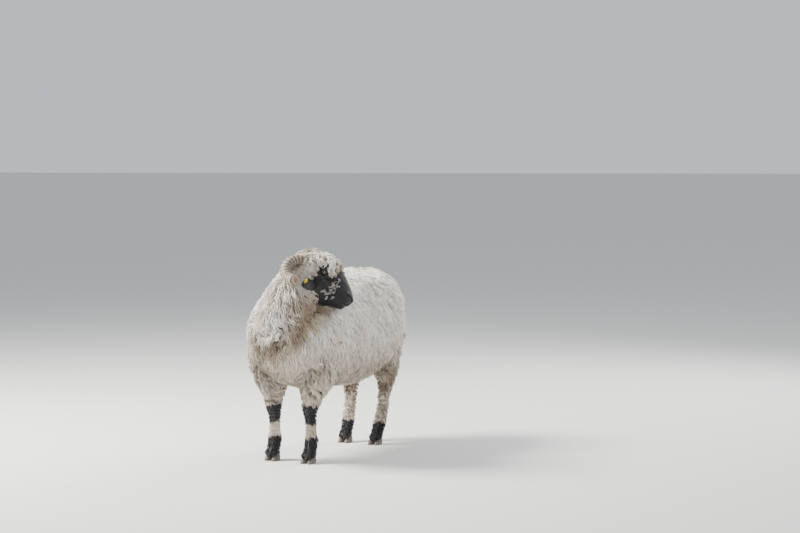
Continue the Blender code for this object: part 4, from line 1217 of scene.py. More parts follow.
@dataclass
class HeadSkin:
    """The head's skin: the loft on a fine grid, with sockets, cheeks, nostrils and lips pressed into it.

    A ridge is its height, how far it lies from its line or middle, and its reach. Below 0 it is a groove.
    """

    masses: Masses
    rings: int = 236
    sides: int = 224
    nostril_back: Point = (0.207, 0.036, 0.024)
    nostril_front: Point = (0.234, 0.015, 0.007)
    nostril_depth: float = 0.0085
    nostril_half: tuple[float, float] = (0.0022, 0.0048)
    nostril_arch: float = 0.004
    nostril_rim: tuple[float, float, float] = (0.0018, 0.0080, 0.0028)
    nose_slope: float = 0.0110
    parting: tuple[float, float, float] = (-0.0020, 0.0, 0.0016)
    droop: float = 0.004
    corner: tuple[tuple[float, float, float], ...] = ((0.0016, 0.0, 0.008), (-0.0014, 0.0, 0.0028))
    mouth_height: float = -0.017
    mouth_corner: float = 0.180
    nose_end: float = 0.238
    socket: float = 0.016
    socket_edge: tuple[float, float] = (0.0165, 0.0120)
    lid_ring: tuple[float, float, float] = (0.0034, 0.0190, 0.0075)
    # Measured from the eye's middle: the brow and the hollow ahead of the eye.
    round_eye: tuple[Form, ...] = (
        Form(0.0035, -0.004, 0.019, 0.012, (1, 1.4)), Form(-0.0030, 0.030, -0.014, 0.008, (0.5, 1))
    )
    # The jaw muscle, the cheekbone, and the hollow behind the nostril.
    flank: tuple[Form, ...] = (
        Form(0.0032, 0.090, -0.030, 0.032, (1, 1.1)),
        Form(0.0026, 0.118, 0.022, 0.009, (0.45, 1), lean=0.25),
        Form(-0.0020, 0.150, -0.004, 0.014, (0.6, 1)),
    )
    folds: Form = Form(0.0005, 0.168, -0.020, 0.022, (1, 0.8))
    fold_step: float = 0.011
    lips: tuple[tuple[float, float, float], ...] = (
        (-0.0045, 0.0, 0.0017), (0.0014, 0.0060, 0.0034), (0.0018, -0.0056, 0.0036)
    )

    @staticmethod
    def ridge(distance: Array, form: tuple[float, float, float]) -> Array:
        """A ridge's height at that distance from its line or middle."""
        return form[0] * bump(distance - form[1], form[2])

    def sockets(self, points: Array) -> Array:
        """Sinks the skin under each eyeball and draws it up round the lids, with a brow and a hollow ahead.

        Args:
            points: Skin points in the head's axes.

        Returns:
            How far each is lifted.
        """
        rise = np.zeros(len(points))
        for side in (1, -1):
            x, _, z = (points - Eye(side).centre).T
            away = np.hypot(x, z)
            form = self.ridge(away, self.lid_ring) - self.socket * ramp(away, *self.socket_edge)
            form += sum(part.rise(x, z) for part in self.round_eye)
            rise += form * ramp(side * points[:, 1], 0.0, 0.02)
        return rise

    def muzzle(self, points: Array) -> Array:
        """Presses in the nostrils, the parting between them and the mouth, and raises rims, lips and chin.

        A nostril follows a line that bulges upwards as a half sine. The mouth droops as a square towards its
        corner.

        Args:
            points: Skin points in the head's axes.

        Returns:
            How far each is lifted.
        """
        x, y, z = points.T
        start, end = np.array(self.nostril_back), np.array(self.nostril_front)
        folded = np.stack([x, np.abs(y), z], -1)
        along = beside_line(folded, start, end)
        middle = start + along[:, None] * (end - start)
        middle[:, 2] += self.nostril_arch * np.sin(math.pi * along)
        away = np.linalg.norm(folded - middle, axis=1)
        half = self.nostril_half[0] + (self.nostril_half[1] - self.nostril_half[0]) * along
        rise = -self.nostril_depth * np.exp(-((away / half) ** 3))
        rise += self.ridge(away, self.nostril_rim) * ramp(z - middle[:, 2], -0.002, 0.004)
        rise -= self.nose_slope * ramp(x, 0.206, 0.236) * ramp(z, 0.004, -0.020)
        droop = self.droop * ((self.nose_end - x) / (self.nose_end - self.mouth_corner)) ** 2
        line = z - (self.mouth_height - droop)
        mouth = sum(self.ridge(line, lip) for lip in self.lips)
        rise += mouth * ramp(x, self.mouth_corner - 0.004, self.mouth_corner + 0.008)
        below_nose = ramp(x, 0.224, 0.234) * band(z, (-0.016, -0.010, 0.006, 0.012))
        rise += below_nose * self.ridge(y, self.parting)
        return rise + sum(self.ridge(np.hypot(x - self.mouth_corner, line), form) for form in self.corner)

    def cheeks(self, points: Array) -> Array:
        """Raises the jaw muscle and the cheekbone, and hollows the flank, with loose folds behind the mouth.

        Args:
            points: Skin points in the head's axes.

        Returns:
            How far each is lifted.
        """
        x, y, z = points.T
        folds = np.cos((z + 0.35 * (x - 0.17)) * FULL_TURN / self.fold_step) * self.folds.rise(x, z)
        return ramp(np.abs(y), 0.018, 0.034) * (sum(part.rise(x, z) for part in self.flank) + folds)

    def build(self) -> Surface:
        """Moves every point of the fine grid along its normal by the sum of the forms.

        Returns:
            The surface where the sheep stands.
        """
        loft = self.masses.head
        spots = Spots.net(0.002 + 0.996 * np.linspace(0, 1, self.rings), self.sides)
        local = loft.skin_local(spots)
        rise = 0.5 * loft.row_at(spots.place)[:, -1]
        rise += self.sockets(local) + self.muzzle(local) + self.cheeks(local)
        rise += 0.0006 * cloud(local, Noise.SKIN_TUFT) * ramp(local[:, 0], 0.22, 0.19)
        shape = (self.rings, self.sides, 3)
        tint = self.masses.markings.head(local).reshape(shape)
        return tube(loft.above(spots, rise).reshape(shape), tint, local.reshape(shape))


@dataclass
class Skin:
    """One skin for the whole sheep: lofts run together by a voxel remesh, with the finer head joined on."""

    masses: Masses
    rings: int = 120
    sides: int = 48
    voxel: float = 0.0072
    smoothing: int = 6
    dewclaw_radius: float = 0.008
    dewclaw_height: float = 0.066
    dewclaw_length: float = 0.018
    dewclaw_shade: float = 0.045
    flesh_nodes: tuple[str, ...] = (
        "torso", "neck", "head", "topknot", "tail",
        "foreleg_left", "foreleg_right", "hindleg_left", "hindleg_right",
    )

    def body(self) -> Surface:
        """Every mass but the head as closed grids, remeshed to one surface and smoothed.

        Returns:
            The surface, coloured by the markings.
        """
        parts = []
        spots = Spots.net(np.linspace(0.002, 0.998, self.rings), self.sides)
        for loft in self.masses.flesh():
            points = loft.skin(spots).reshape(self.rings, self.sides, 3)
            parts.append(tube(points, np.ones_like(points)))
        rough = Surface.joined(parts)
        mesh = bpy.data.meshes.new("flesh")
        mesh.from_pydata(rough.points.tolist(), [], rough.triangles.tolist())
        obj = bpy.data.objects.new("flesh", mesh)
        bpy.context.scene.collection.objects.link(obj)
        fused = obj.modifiers.new("fused", "REMESH")
        fused.mode, fused.voxel_size = "VOXEL", self.voxel
        obj.modifiers.new("soft", "SMOOTH").iterations = self.smoothing
        done = bpy.data.meshes.new_from_object(obj.evaluated_get(bpy.context.evaluated_depsgraph_get()))
        bpy.data.objects.remove(obj)
        done.calc_loop_triangles()
        points = np.empty((len(done.vertices), 3), np.float32)
        done.vertices.foreach_get("co", points.ravel())
        triangles = np.empty((len(done.loop_triangles), 3), np.int32)
        done.loop_triangles.foreach_get("vertices", triangles.ravel())
        bpy.data.meshes.remove(done)
        points = points.astype(float)
        return Surface(points, triangles, self.masses.markings.body(points), points[:, [2, 0, 1]]).outward()

    def dewclaws(self, loft: Loft) -> list[Surface]:
        """The two small claws behind a pastern: a bent cone whose radius falls with the cosine.

        Args:
            loft: The leg.

        Returns:
            The two surfaces.
        """
        row = loft.row_at(np.array([loft.place_at(2, self.dewclaw_height)]))[0]
        share, angle = np.linspace(0, 1, 14), turns(16)
        radius = 0.85 * self.dewclaw_radius * np.cos(0.49 * math.pi * share) ** 0.45
        ring = np.stack([np.cos(angle), 0.5 * np.sin(angle), 0.85 * np.sin(angle)], -1)
        made = []
        for across in (-0.55, 0.55):
            top = np.array([row[0] + across * row[3], row[1] + 0.55 * row[4], row[2] + 0.006])
            way = np.array([0.15 * across * self.dewclaw_radius, self.dewclaw_length, -self.dewclaw_length])
            points = (top + share[:, None] * way)[:, None] + radius[:, None, None] * ring
            made.append(tube(points, plain(points, (self.dewclaw_shade,) * 3), points))
        return made

    def build(self) -> bpy.types.Object:
        """Joins the body, the head, the lids and the dewclaws to one piece that stands for all the flesh.

        Returns:
            The skin.
        """
        parts = [self.body(), HeadSkin(self.masses).build()]
        parts += [Eye(side).lids(self.masses.markings.black).moved(head_matrix()) for side in (1, -1)]
        for loft in self.masses.legs.values():
            parts += self.dewclaws(loft)
        skin = Surface.joined(parts).to_object("skin", SKIN, "black_face")
        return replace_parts(skin, *self.flesh_nodes)


@dataclass
class Horn:
    """A coiled horn: back from the crown, down, then forward and out to a blunt end, with growth rings."""

    side: int
    radius: float = 0.027
    tip_radius: float = 0.026
    coil: float = 0.043
    tightening: float = 0.18
    coil_centre: tuple[float, float] = (-0.022, -0.002)
    start: float = math.radians(50)
    end: float = math.radians(318)
    inner: float = 0.030
    outer: float = 0.152
    rings: int = 16
    ridge: float = 0.085
    crest: float = 0.30
    dome: float = 0.0035
    groove_brown: Point = (0.085, 0.060, 0.042)
    crests: tuple[Point, Point] = ((0.25, 0.20, 0.155), (0.40, 0.32, 0.25))
    cut_end: tuple[Point, Point] = ((0.42, 0.32, 0.26), (0.25, 0.140, 0.080))

    def path(self, turn: Array) -> Array:
        """The middle line: a circle seen from the side that tightens, carried outwards as it turns.

        Args:
            turn: How far along the horn, from 0 to 1.

        Returns:
            Points in the head's axes.
        """
        angle = self.start + (self.end - self.start) * turn
        coil = self.coil * (1 - self.tightening * turn)
        x, z = self.coil_centre[0] + coil * np.cos(angle), self.coil_centre[1] + coil * np.sin(angle)
        return np.stack([x, self.side * (self.inner + (self.outer - self.inner) * turn**1.15), z], -1)

    def build(self, word: str) -> bpy.types.Object:
        """Carries a round section along the path. Each growth ring steps up sharply and falls off slowly.

        Args:
            word: Left or right.

        Returns:
            The horn.
        """
        turn, angle = np.linspace(0, 1, 260), turns(72)
        path = self.path(turn)
        tangent = unit(np.gradient(path, axis=0))
        up = np.broadcast_to(np.array([0.0, self.side, 0.0]), path.shape)
        up = unit(up - dot(up, tangent) * tangent)
        across = np.cross(tangent, up)
        wander = 0.14 * np.sin(angle + 0.6) + 0.06 * np.sin(3 * angle + 1.7)
        phase = (self.rings * turn[:, None] ** 0.9 + wander) % 1.0
        groove = np.where(phase < self.crest, phase / self.crest, (1 - phase) / (1 - self.crest))
        size = (self.radius + (self.tip_radius - self.radius) * turn)[:, None]
        radius = size * (0.975 - self.ridge * (1 - groove) * (1 - 0.55 * turn)[:, None])
        radius = radius * (1 - 0.035 * np.cos(2 * angle + 0.9))
        radius = radius * np.sqrt(1 - 0.30 * ramp(turn, 0.962, 1.0) ** 2)[:, None]
        round_it = np.cos(angle)[:, None] * across[:, None] + np.sin(angle)[:, None] * up[:, None]
        points = path[:, None] + radius[..., None] * round_it
        flow = np.stack(np.broadcast_arrays(turn[:, None] * 0.30, angle * self.radius, 0 * radius), -1)
        cap = np.linspace(0.96, 0.03, 12)[:, None, None]
        end = path[-1] + cap * (points[-1] - path[-1]) + self.dome * (1 - cap**2) * tangent[-1]
        disc = mixed(*self.cut_end, ramp(1 - cap[..., 0], 0.20, 0.60))
        disc = disc * (1 + 0.25 * cloud(end, Noise.HORN_END))[..., None]
        tint = np.concatenate([self.colour(turn, groove, flow), disc])
        flow = np.concatenate([flow, np.broadcast_to(flow[-1:], end.shape)])
        horn = tube(np.concatenate([points, end]), tint, flow).moved(head_matrix())
        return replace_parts(horn.to_object(f"horn_{word}_ringed", HORN, "horn"), f"horn_{word}")

    def colour(self, turn: Array, groove: Array, flow: Array) -> Array:
        """Grey-brown with dark grooves, beige on the rings' crests and paler towards the end.

        Args:
            turn: How far along the horn, from 0 to 1.
            groove: 0 in a groove, 1 on a crest.
            flow: Where each point lies along and round the horn.

        Returns:
            A colour for each point.
        """
        crest = mixed(*self.crests, ramp(turn, 0.1, 0.9))[:, None]
        streak = cloud(flow * np.array([0.25, 1, 1]), Noise.HORN_STREAK)
        return mixed(self.groove_brown, crest, ramp(groove, 0.0, 0.9)) * (1 + 0.28 * streak)[..., None]


@dataclass
class Ear:
    """A leaf-shaped ear with a hollow cup, its wall thinning to a rounded rim."""

    side: int
    length: float = 0.112
    width: float = 0.062
    wall: float = 0.0050
    cup: float = 0.016
    droop: float = 0.012
    root: Point = (0.050, 0.058, 0.004)
    way_along: Point = (0.16, 0.93, -0.18)
    way_back: Point = (-0.10, 0.50, 0.82)
    black: Point = (0.024, 0.021, 0.022)

    def axes(self) -> tuple[Array, Array, Array]:
        """The ear's axes in the head's: along to the tip, across the blade, and out of the cup's back.

        Returns:
            Three unit vectors.
        """
        along, back = (unit(mirrored(way, self.side)) for way in (self.way_along, self.way_back))
        back = unit(back - np.dot(back, along) * along)
        return along, np.cross(along, back), back

    def sheet(self, place: Array, over: Array) -> Array:
        """The ear's middle sheet: a leaf that narrows to its root and tip, cupped by the square of `over`.

        Args:
            place: From the root, 0, to the tip, 1.
            over: From one rim, -1, to the other, 1.

        Returns:
            Points in the head's axes.
        """
        along, across, back = self.axes()
        width = 0.5 * self.width * (0.42 + 0.58 * np.sin(math.pi * np.minimum(1, 0.16 + 0.74 * place)) ** 0.8)
        width = width * np.sqrt(np.clip(1.02 - place**6, 0, 1))
        cup = self.cup * (2 * width / self.width) ** 2
        sides = (
            (self.length * place, along),
            (width * over, across),
            (-cup * over**2, back),
            (-self.droop * place**2, np.array([0, 0, 1.0])),
        )
        return mirrored(self.root, self.side) + sum(size[..., None] * way for size, way in sides)

    def build(self, word: str) -> bpy.types.Object:
        """The outer and inner sheets as one ring of points at each place along the ear, with soft ripples.

        Args:
            word: Left or right.

        Returns:
            The ear.
        """
        place, over = grid(np.linspace(0, 1, 72), np.cos(np.linspace(math.pi, 0, 36)))
        sheet, back = self.sheet(place, over), self.axes()[2]
        wall = 0.5 * self.wall * (1.2 - 0.5 * place) * np.sqrt(np.clip(1.04 - over**4, 0, 1))
        ripple = 0.0006 * np.cos(over * 9) * (1 - over**2) * place
        outer, inner = (sheet + (ripple + way * wall)[..., None] * back for way in (1, -1))
        points = np.concatenate([outer, inner[:, ::-1]], axis=1)
        tint = plain(points, self.black) * (1 + 0.4 * cloud(points, Noise.EAR))[..., None]
        flow = np.concatenate([place, place[:, ::-1]], axis=1) * self.length
        flow = np.stack([flow, points[..., 2], points[..., 0]], -1)
        ear = tube(points, tint, flow).moved(head_matrix())
        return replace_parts(ear.to_object(f"ear_{word}_furred", SKIN, "black_face"), f"ear_{word}")


@dataclass
class EarTag:
    """A yellow flap that hangs through the ear, with the round head of its stud on both its faces."""

    below: float = 0.010
    above: float = 0.020
    width: float = 0.0110
    wall: float = 0.0022
    stud: float = 0.0040
    along: float = 0.55
    over: float = 0.62
    end_share: float = 0.10
    yellow: Point = (0.80, 0.62, 0.035)
    stud_shade: float = 0.82

    def flap(self) -> Array:
        """A flat bar whose section is a superellipse and whose ends are rounded as ellipses.

        Returns:
            Rings of points in the tag's own axes.
        """
        c, s = superellipse(turns(40), 0.5)
        share = np.linspace(0, 1, 40)
        past = 1 - np.clip(np.minimum(share, 1 - share) / self.end_share, 0.02, 1)
        wide = 0.5 * self.width * (0.62 + 0.38 * np.sqrt(1 - past**2))
        thick = 0.5 * self.wall * np.sqrt(1 - 0.9 * past**4)
        height = -self.below + (self.below + self.above) * share
        return np.stack(np.broadcast_arrays(wide[:, None] * c, thick[:, None] * s, height[:, None]), -1)

    def disc(self) -> Array:
        """A disc through the flap whose radius falls off at its rims as a superellipse.

        Returns:
            Rings of points in the tag's own axes.
        """
        turn, lift = turns(40), np.linspace(-1, 1, 24)[:, None]
        radius = self.stud * (0.97 * np.sqrt(1 - np.abs(lift) ** 6) + 0.03)
        x, z = radius * np.cos(turn), 0.75 * self.above + radius * np.sin(turn)
        return np.stack(np.broadcast_arrays(x, 1.05 * self.wall * lift, z), -1)

    def build(self) -> bpy.types.Object:
        """Hangs the flap and the disc in the ear.

        Returns:
            The tag.
        """
        ear = Ear(-1)
        along, across, back = ear.axes()
        local = matrix_of(across, along, back, ear.sheet(np.array(self.along), np.array(self.over)))
        parts = []
        for rings, shade in ((self.flap(), 1.0), (self.disc(), self.stud_shade)):
            part = tube(rings, plain(rings, self.yellow) * shade)
            parts.append(part.moved(local).moved(head_matrix()))
        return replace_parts(Surface.joined(parts).to_object("ear_tag_flap", TAG, "ear_tag"), "ear_tag")


@dataclass
class Claw:
    """One half of a cloven hoof, pointing to -Y, with its sole flat on the ground and fine growth rings.

    A row of its shape is a place along it, and the shares of the width and the height that it has there.
    """

    inner: int
    foot: Array
    length: float = 0.058
    width: float = 0.027
    height: float = 0.034
    spread: float = 0.0145
    behind: float = 0.024
    toe_out: float = 0.06
    ring_height: float = 0.010
    rings: int = 9
    dark: Point = (0.085, 0.072, 0.064)
    light: Point = (0.24, 0.205, 0.175)
    shape: tuple[Point, ...] = (
        (0.03, 0.70, 0.96), (0.24, 0.97, 1.00), (0.55, 0.98, 0.90), (0.80, 0.78, 0.62), (0.97, 0.42, 0.32)
    )

    def build(self, name: str) -> bpy.types.Object:
        """Carries an oval, cut off flat at the ground, along the claw through its shape's widths and heights.

        Args:
            name: The CAD node's name.

        Returns:
            The claw.
        """
        turn = turns(48)
        along, wide, tall = (column[:, None] for column in smooth_rows(np.array(self.shape), 56).T)
        rings = 1 + self.ring_height * np.cos((along + 0.15 * np.sin(turn)) * FULL_TURN * self.rings)
        x = 0.5 * self.width * wide * np.cos(turn) * rings
        z = np.maximum(self.height * tall * (0.42 + 0.58 * np.sin(turn) * rings), 0)
        y = -self.length * along + 0.25 * z * (along - 0.3)
        c, s = math.cos(self.toe_out * self.inner), math.sin(self.toe_out * self.inner)
        middle = self.foot + np.array([self.inner * self.spread, self.behind, 0])
        points = np.stack([x * c - y * s + middle[0], x * s + y * c + middle[1], z], -1)
        mottle = cloud(np.stack([x, y, 0.3 * z], -1), Noise.CLAW)
        light = np.clip(0.45 - 0.5 * ramp(z, 0.004, 0.020) - 0.25 * mottle, 0, 1)
        flow = np.stack(np.broadcast_arrays(y, 0.5 * self.width * turn, z), -1)
        claw = tube(points, mixed(self.dark, self.light, light), flow)
        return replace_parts(claw.to_object(f"{name}_horny", CLAW, "claw"), name)


@dataclass(frozen=True)
class Lock:
    """How the locks of one kind grow.

    A lock's length is `stretch` times the coat's depth plus `extra`. Its strands start `spread` from its
    middle and draw together to `gather` of that at the tip. They wave `wave` metres aside, a full turn each
    `turn` metres. Its tip lies between the two values of `lift`, as shares of the coat's depth.
    """

    density: float
    strands: int
    half_width: float
    stretch: float = 1.25
    extra: float = 0.006
    spread: float = 0.0085
    gather: float = 0.60
    wave: float = 0.0038
    turn: float = 0.050
    rings: int = 7
    stray: float = 0.45
    lift: tuple[float, float] = (0.78, 0.98)
    # The roots are painted darker and warmer than the tips: partly a stain, partly painted shade down between
    # the locks.
    root_stain_and_shade: float = 0.85


LONG = Lock(6000, 4, 0.0020, spread=0.0100, gather=0.75, rings=6, stray=0.34)
SHAGGY = Lock(5400, 5, 0.0018, spread=0.0068, gather=0.70, wave=0.0040, turn=0.040, stray=0.50)
CURLY = Lock(7400, 4, 0.0016, spread=0.0055, wave=0.0042, turn=0.040, stray=0.60, rings=8, lift=(0.70, 1.0))
FLECK = Lock(12000, 3, 0.0012, extra=0.010, spread=0.0030, wave=0.0030, turn=0.022, stray=0.8, rings=6)
SHORT = Lock(17000, 3, 0.0012, stretch=1.3, spread=0.0024, wave=0.0014, turn=0.022, rings=5, stray=0.40)
FLAT = Lock(
    64000, 1, 0.0005, stretch=1.0, extra=0.005, wave=0.0004, rings=3, stray=0.30, lift=(0.25, 0.60)
)


@dataclass
class Chart:
    """A loft's own rectangle of the coat's UV map: place across it and the angle up it."""

    column: int
    row: int
    columns: int = 4
    rows: int = 3
    margin: float = 0.006

    def at(self, spots: Spots) -> Array:
        """The lower left corner of each lock's patch, kept within the rectangle.

        Args:
            spots: Where the locks are rooted.

        Returns:
            UV points.
        """
        wide, tall = 1 / self.columns - 2 * self.margin, 1 / self.rows - 2 * self.margin
        u = self.column / self.columns + self.margin + (wide - PATCH) * spots.place
        v = self.row / self.rows + self.margin + (tall - PATCH) * ((spots.angle / FULL_TURN) % 1.0)
        return np.stack([u, v], -1)


@dataclass
class Coat:
    """Grows the locks of every mass and cuts them into pieces of the coat.

    A spread is the least and the most that a random share of a size can be. A lock over an eye is cut back to
    each share of `cut_back` in turn, and is left out if it still hangs there. `window` is the radius and the
    depth of the round in front of an eye that stays clear.
    """

    masses: Masses
    seed: int = 5
    root_depth: float = 0.003
    middle_height: float = 0.72
    length_spread: tuple[float, float] = (0.85, 1.18)
    lumps: float = 0.18
    crease_sink: float = 0.42
    own_stray: float = 0.55
    shared_stray: float = 1.1
    cut_back: tuple[float, ...] = (0.55, 0.55)
    window: tuple[float, float] = (0.0195, 0.06)
    phase_stray: float = 0.45
    wave_spread: tuple[float, float] = (0.6, 1.3)
    root_spread: tuple[float, float] = (0.6, 1.2)
    flatness: float = 0.6
    strand_flatness: float = 0.8
    most_ragged: float = 0.14
    width_spread: tuple[float, float] = (0.8, 1.2)
    lock_shade: tuple[float, float] = (0.86, 1.08)
    strand_shade: tuple[float, float] = (0.92, 1.05)
    # Powers by which the painted stain and shade at the root darken red, green and blue.
    root_warmth: Point = (0.8, 1.0, 1.25)
    hidden_height: float = 0.55
    hidden_share: float = 0.25

    def __post_init__(self) -> None:
        """Starts the random series."""
        self.draw = np.random.default_rng(self.seed)

    def centre_lines(self, loft: Loft, spots: Spots, kind: Lock) -> tuple[Array, Array, Array]:
        """The middle line of each lock: a curve from under the skin, over its own middle, to its tip.

        It is the quadratic curve through three points: the root, just under the skin, the middle, half the
        length along the lie at `middle_height` of the coat's depth, and the tip, the whole length along at
        the kind's `lift` of the depth.

        Args:
            loft: The mass.
            spots: Where the locks are rooted.
            kind: How they grow.

        Returns:
            The points, ring by ring, each lock's normal, and its length.
        """
        count = len(spots)
        root, normal, depth = loft.skin(spots), loft.normal(spots), loft.depth(spots)
        length = (kind.stretch * depth + kind.extra) * self.draw.uniform(*self.length_spread, count)
        furrow = self.masses.markings.in_crease(root + depth[:, None] * normal - STANCE)
        lumps = (1 + self.lumps * cloud(root, Noise.LUMPS)) * (1 - self.crease_sink * furrow)
        shared = self.shared_stray * cloud(root, Noise.STRAY)
        stray = kind.stray * (self.draw.normal(0, self.own_stray, count) + shared)

        def strayed(at: Spots) -> Array:
            """The lie there, turned about the normal by the lock's own stray angle."""
            lie, out = loft.lie(at), loft.normal(at)
            flat = unit(lie - dot(lie, out) * out)
            return flat * np.cos(stray)[:, None] + np.cross(out, flat) * np.sin(stray)[:, None]

        halfway = loft.walk(spots, strayed(spots), 0.5 * length)
        middle = loft.above(halfway, self.middle_height * lumps * loft.depth(halfway))
        way = strayed(halfway)
        end = loft.walk(halfway, way, 0.5 * length)
        lift = self.draw.uniform(*kind.lift, count) * lumps
        tip = loft.above(end, lift * loft.depth(end))
        short = np.maximum(0.5 * length - np.linalg.norm(tip - middle, axis=1), 0)
        tip = tip + short[:, None] * way
        start = root - self.root_depth * normal
        control = 2 * middle - 0.5 * (start + tip)
        t = np.linspace(0, 1, kind.rings + 1)[None, :, None]
        line = (1 - t) ** 2 * start[:, None] + 2 * t * (1 - t) * control[:, None] + t**2 * tip[:, None]
        whole = np.linalg.norm(np.diff(line, axis=1), axis=-1).sum(1)
        return line, unit(normal + loft.normal(halfway)), whole

    def over_eyes(self, line: Array) -> Array:
        """Which locks would hang over an eye: their middle line crosses the round window in front of it.

        Args:
            line: Each lock's middle line.

        Returns:
            True for each that would.
        """
        local = self.masses.head.to_local(line)
        over = np.zeros(len(line), bool)
        for side in (1, -1):
            x, y, z = np.moveaxis(local - Eye(side).centre, -1, 0)
            over |= ((np.hypot(x, z) < self.window[0]) & (side * y > 0) & (side * y < self.window[1])).any(1)
        return over

    def strands(self, line: Array, normal: Array, length: Array, kind: Lock) -> Array:
        """The rings of every strand: three points round a waved line beside the lock's middle line.

        Args:
            line: Each lock's middle line.
            normal: Its normal.
            length: Its length.
            kind: How it grows.

        Returns:
            Points by lock, strand, ring and side, with the tip as one more ring drawn to a point.
        """
        count, many, draw = len(line), kind.strands, self.draw
        tangent = unit(np.gradient(line, axis=1))
        side = unit(np.cross(tangent, normal[:, None]))
        up = np.cross(side, tangent)
        t = np.linspace(0, 1, kind.rings + 1)
        phase = draw.uniform(0, FULL_TURN, (count, 1, 1)) + draw.normal(0, self.phase_stray, (count, many, 1))
        swing = kind.wave * draw.uniform(*self.wave_spread, (count, many, 1)) * ramp(t, 0.0, 0.45)
        hand = draw.choice([-1.0, 1.0], (count, 1, 1))
        angle = FULL_TURN * length[:, None, None] * t / kind.turn + phase
        place = turns(many) + draw.uniform(0, FULL_TURN, (count, 1))
        away = kind.spread * draw.uniform(*self.root_spread, (count, many)) * (many > 1)
        draw_in = 1 - (1 - kind.gather) * t
        aside = swing * np.sin(angle) + (away * np.cos(place))[..., None] * draw_in
        above = swing * hand * np.cos(angle) + (away * np.sin(place))[..., None] * draw_in
        above = self.flatness * above
        middle = line[:, None] + aside[..., None] * side[:, None] + above[..., None] * up[:, None]
        ragged = draw.uniform(0.0, self.most_ragged, (count, many, 1, 1)) * t[:, None] ** 3
        middle = middle + (line[:, None, :1] - line[:, None]) * ragged
        width = kind.half_width * draw.uniform(*self.width_spread, (count, many, 1))
        width = width * (0.72 + 0.50 * np.sin(math.pi * t**0.8))
        width = width * np.where(t > 0.999, 0.0, 1 - 0.45 * ramp(t, 0.6, 1.0))
        c, s = (part[:, None] for part in (np.cos(turns(3)), np.sin(turns(3))))
        offset = c * side[:, None, :, None] + self.strand_flatness * s * up[:, None, :, None]
        return middle[..., None, :] + width[..., None, None] * offset

    @staticmethod
    def pattern(rings: int) -> tuple[Array, Array]:
        """The triangles of one strand, and the place of each corner on its patch.

        Args:
            rings: How many rings it has before its tip.

        Returns:
            Point numbers by triangle, and UV points by corner as shares of the patch.
        """
        ring, side = (part.ravel() for part in grid(np.arange(rings - 1), np.arange(3)))
        low, high, left, right = ring / rings, (ring + 1) / rings, side / 3, (side + 1) / 3
        first = np.stack([left, low, right, low, right, high], -1)
        second = np.stack([left, low, right, high, left, high], -1)
        sides, last = np.arange(3), 3 * (rings - 1)
        tip = np.stack([last + sides, last + (sides + 1) % 3, np.full(3, 3 * rings)], -1)
        top = (rings - 1) / rings
        tip_uv = [(k / 3, top, (k + 1) / 3, top, (k + 0.5) / 3, 1.0) for k in range(3)]
        root, root_uv = [[2, 1, 0]], [(0.9, 0.0, 0.1, 0.0, 0.5, 0.3 / rings)]
        chart = np.concatenate([first, second, tip_uv, root_uv])
        return np.concatenate([walls(rings, 3), tip, root]), chart.reshape(-1, 2)

    def grow(self, loft: Loft, spots: Spots, kind: Lock, chart: Chart, tint: Array) -> Surface:
        """Makes every lock rooted at the spots as one surface. One over an eye is cut back, or else left out.

        Args:
            loft: The mass.
            spots: Where the locks are rooted.
            kind: How they grow.
            chart: The loft's rectangle of the UV map.
            tint: A colour for each lock.

        Returns:
            The surface, lock by lock.
        """
        line, normal, length = self.centre_lines(loft, spots, kind)
        for share in self.cut_back:
            over = self.over_eyes(line)
            line[over] = line[over, :1] + share * (line[over] - line[over, :1])
        kept = ~self.over_eyes(line)
        rings = self.strands(line[kept], normal[kept], length[kept], kind)
        count, many, steps = rings.shape[:3]
        strands = count * many
        body, tips = rings[:, :, :-1].reshape(strands, -1, 3), rings[:, :, -1, :1].reshape(strands, 1, 3)
        points = np.concatenate([body, tips], axis=1)
        triangles, patch = self.pattern(steps - 1)
        triangles = (triangles[:, ::-1] + points.shape[1] * np.arange(strands)[:, None, None]).reshape(-1, 3)
        patch = patch.reshape(-1, 3, 2)[:, ::-1].reshape(-1, 2)
        corners = np.repeat(chart.at(spots[kept]), many, axis=0)[:, None] + PATCH * patch
        along = np.append(np.repeat(np.linspace(0, 1, steps)[:-1], 3), 1.0)
        # Painted stain and shade along each strand: darker and warmer at the root, full colour from three
        # quarters along.
        shade = kind.root_stain_and_shade + (1 - kind.root_stain_and_shade) * ramp(along, 0.05, 0.75)
        own = self.draw.uniform(*self.lock_shade, (count, 1))
        own = own * self.draw.uniform(*self.strand_shade, (count, many))
        colour = (tint[kept][:, None] * own[..., None]).reshape(-1, 1, 3)
        colour = colour * shade[None, :, None] ** np.array(self.root_warmth)
        return Surface(points.reshape(-1, 3), triangles, colour.reshape(-1, 3), None, corners.reshape(-1, 2))

    def sown(self, loft: Loft, kind: Lock, seed: int) -> Spots:
        """Spots for locks on a mass, in order along it, without those hidden inside another mass.

        Args:
            loft: The mass.
            kind: How its locks grow.
            seed: Shifts the series of spots.

        Returns:
            The spots.
        """
        spots = loft.spots(kind.density, seed)
        spots = spots[np.argsort(spots.place)]
        middle = loft.above(spots, self.hidden_height * loft.depth(spots))
        shown = np.ones(len(spots), bool)
        for other in [*self.masses.flesh(), self.masses.head]:
            if other is not loft:
                shown &= ~other.holds(middle, self.hidden_share)
        return spots[shown]

    def cover(self, loft: Loft, spots: Spots, kind: Lock, chart: Chart, tint: Array) -> list[Surface]:
        """Grows locks from the spots, along the mass, in lots small enough to join to pieces."""
        parts = [slice(start, start + LOT) for start in range(0, len(spots), LOT)]
        return [self.grow(loft, spots[part], kind, chart, tint[part]) for part in parts]

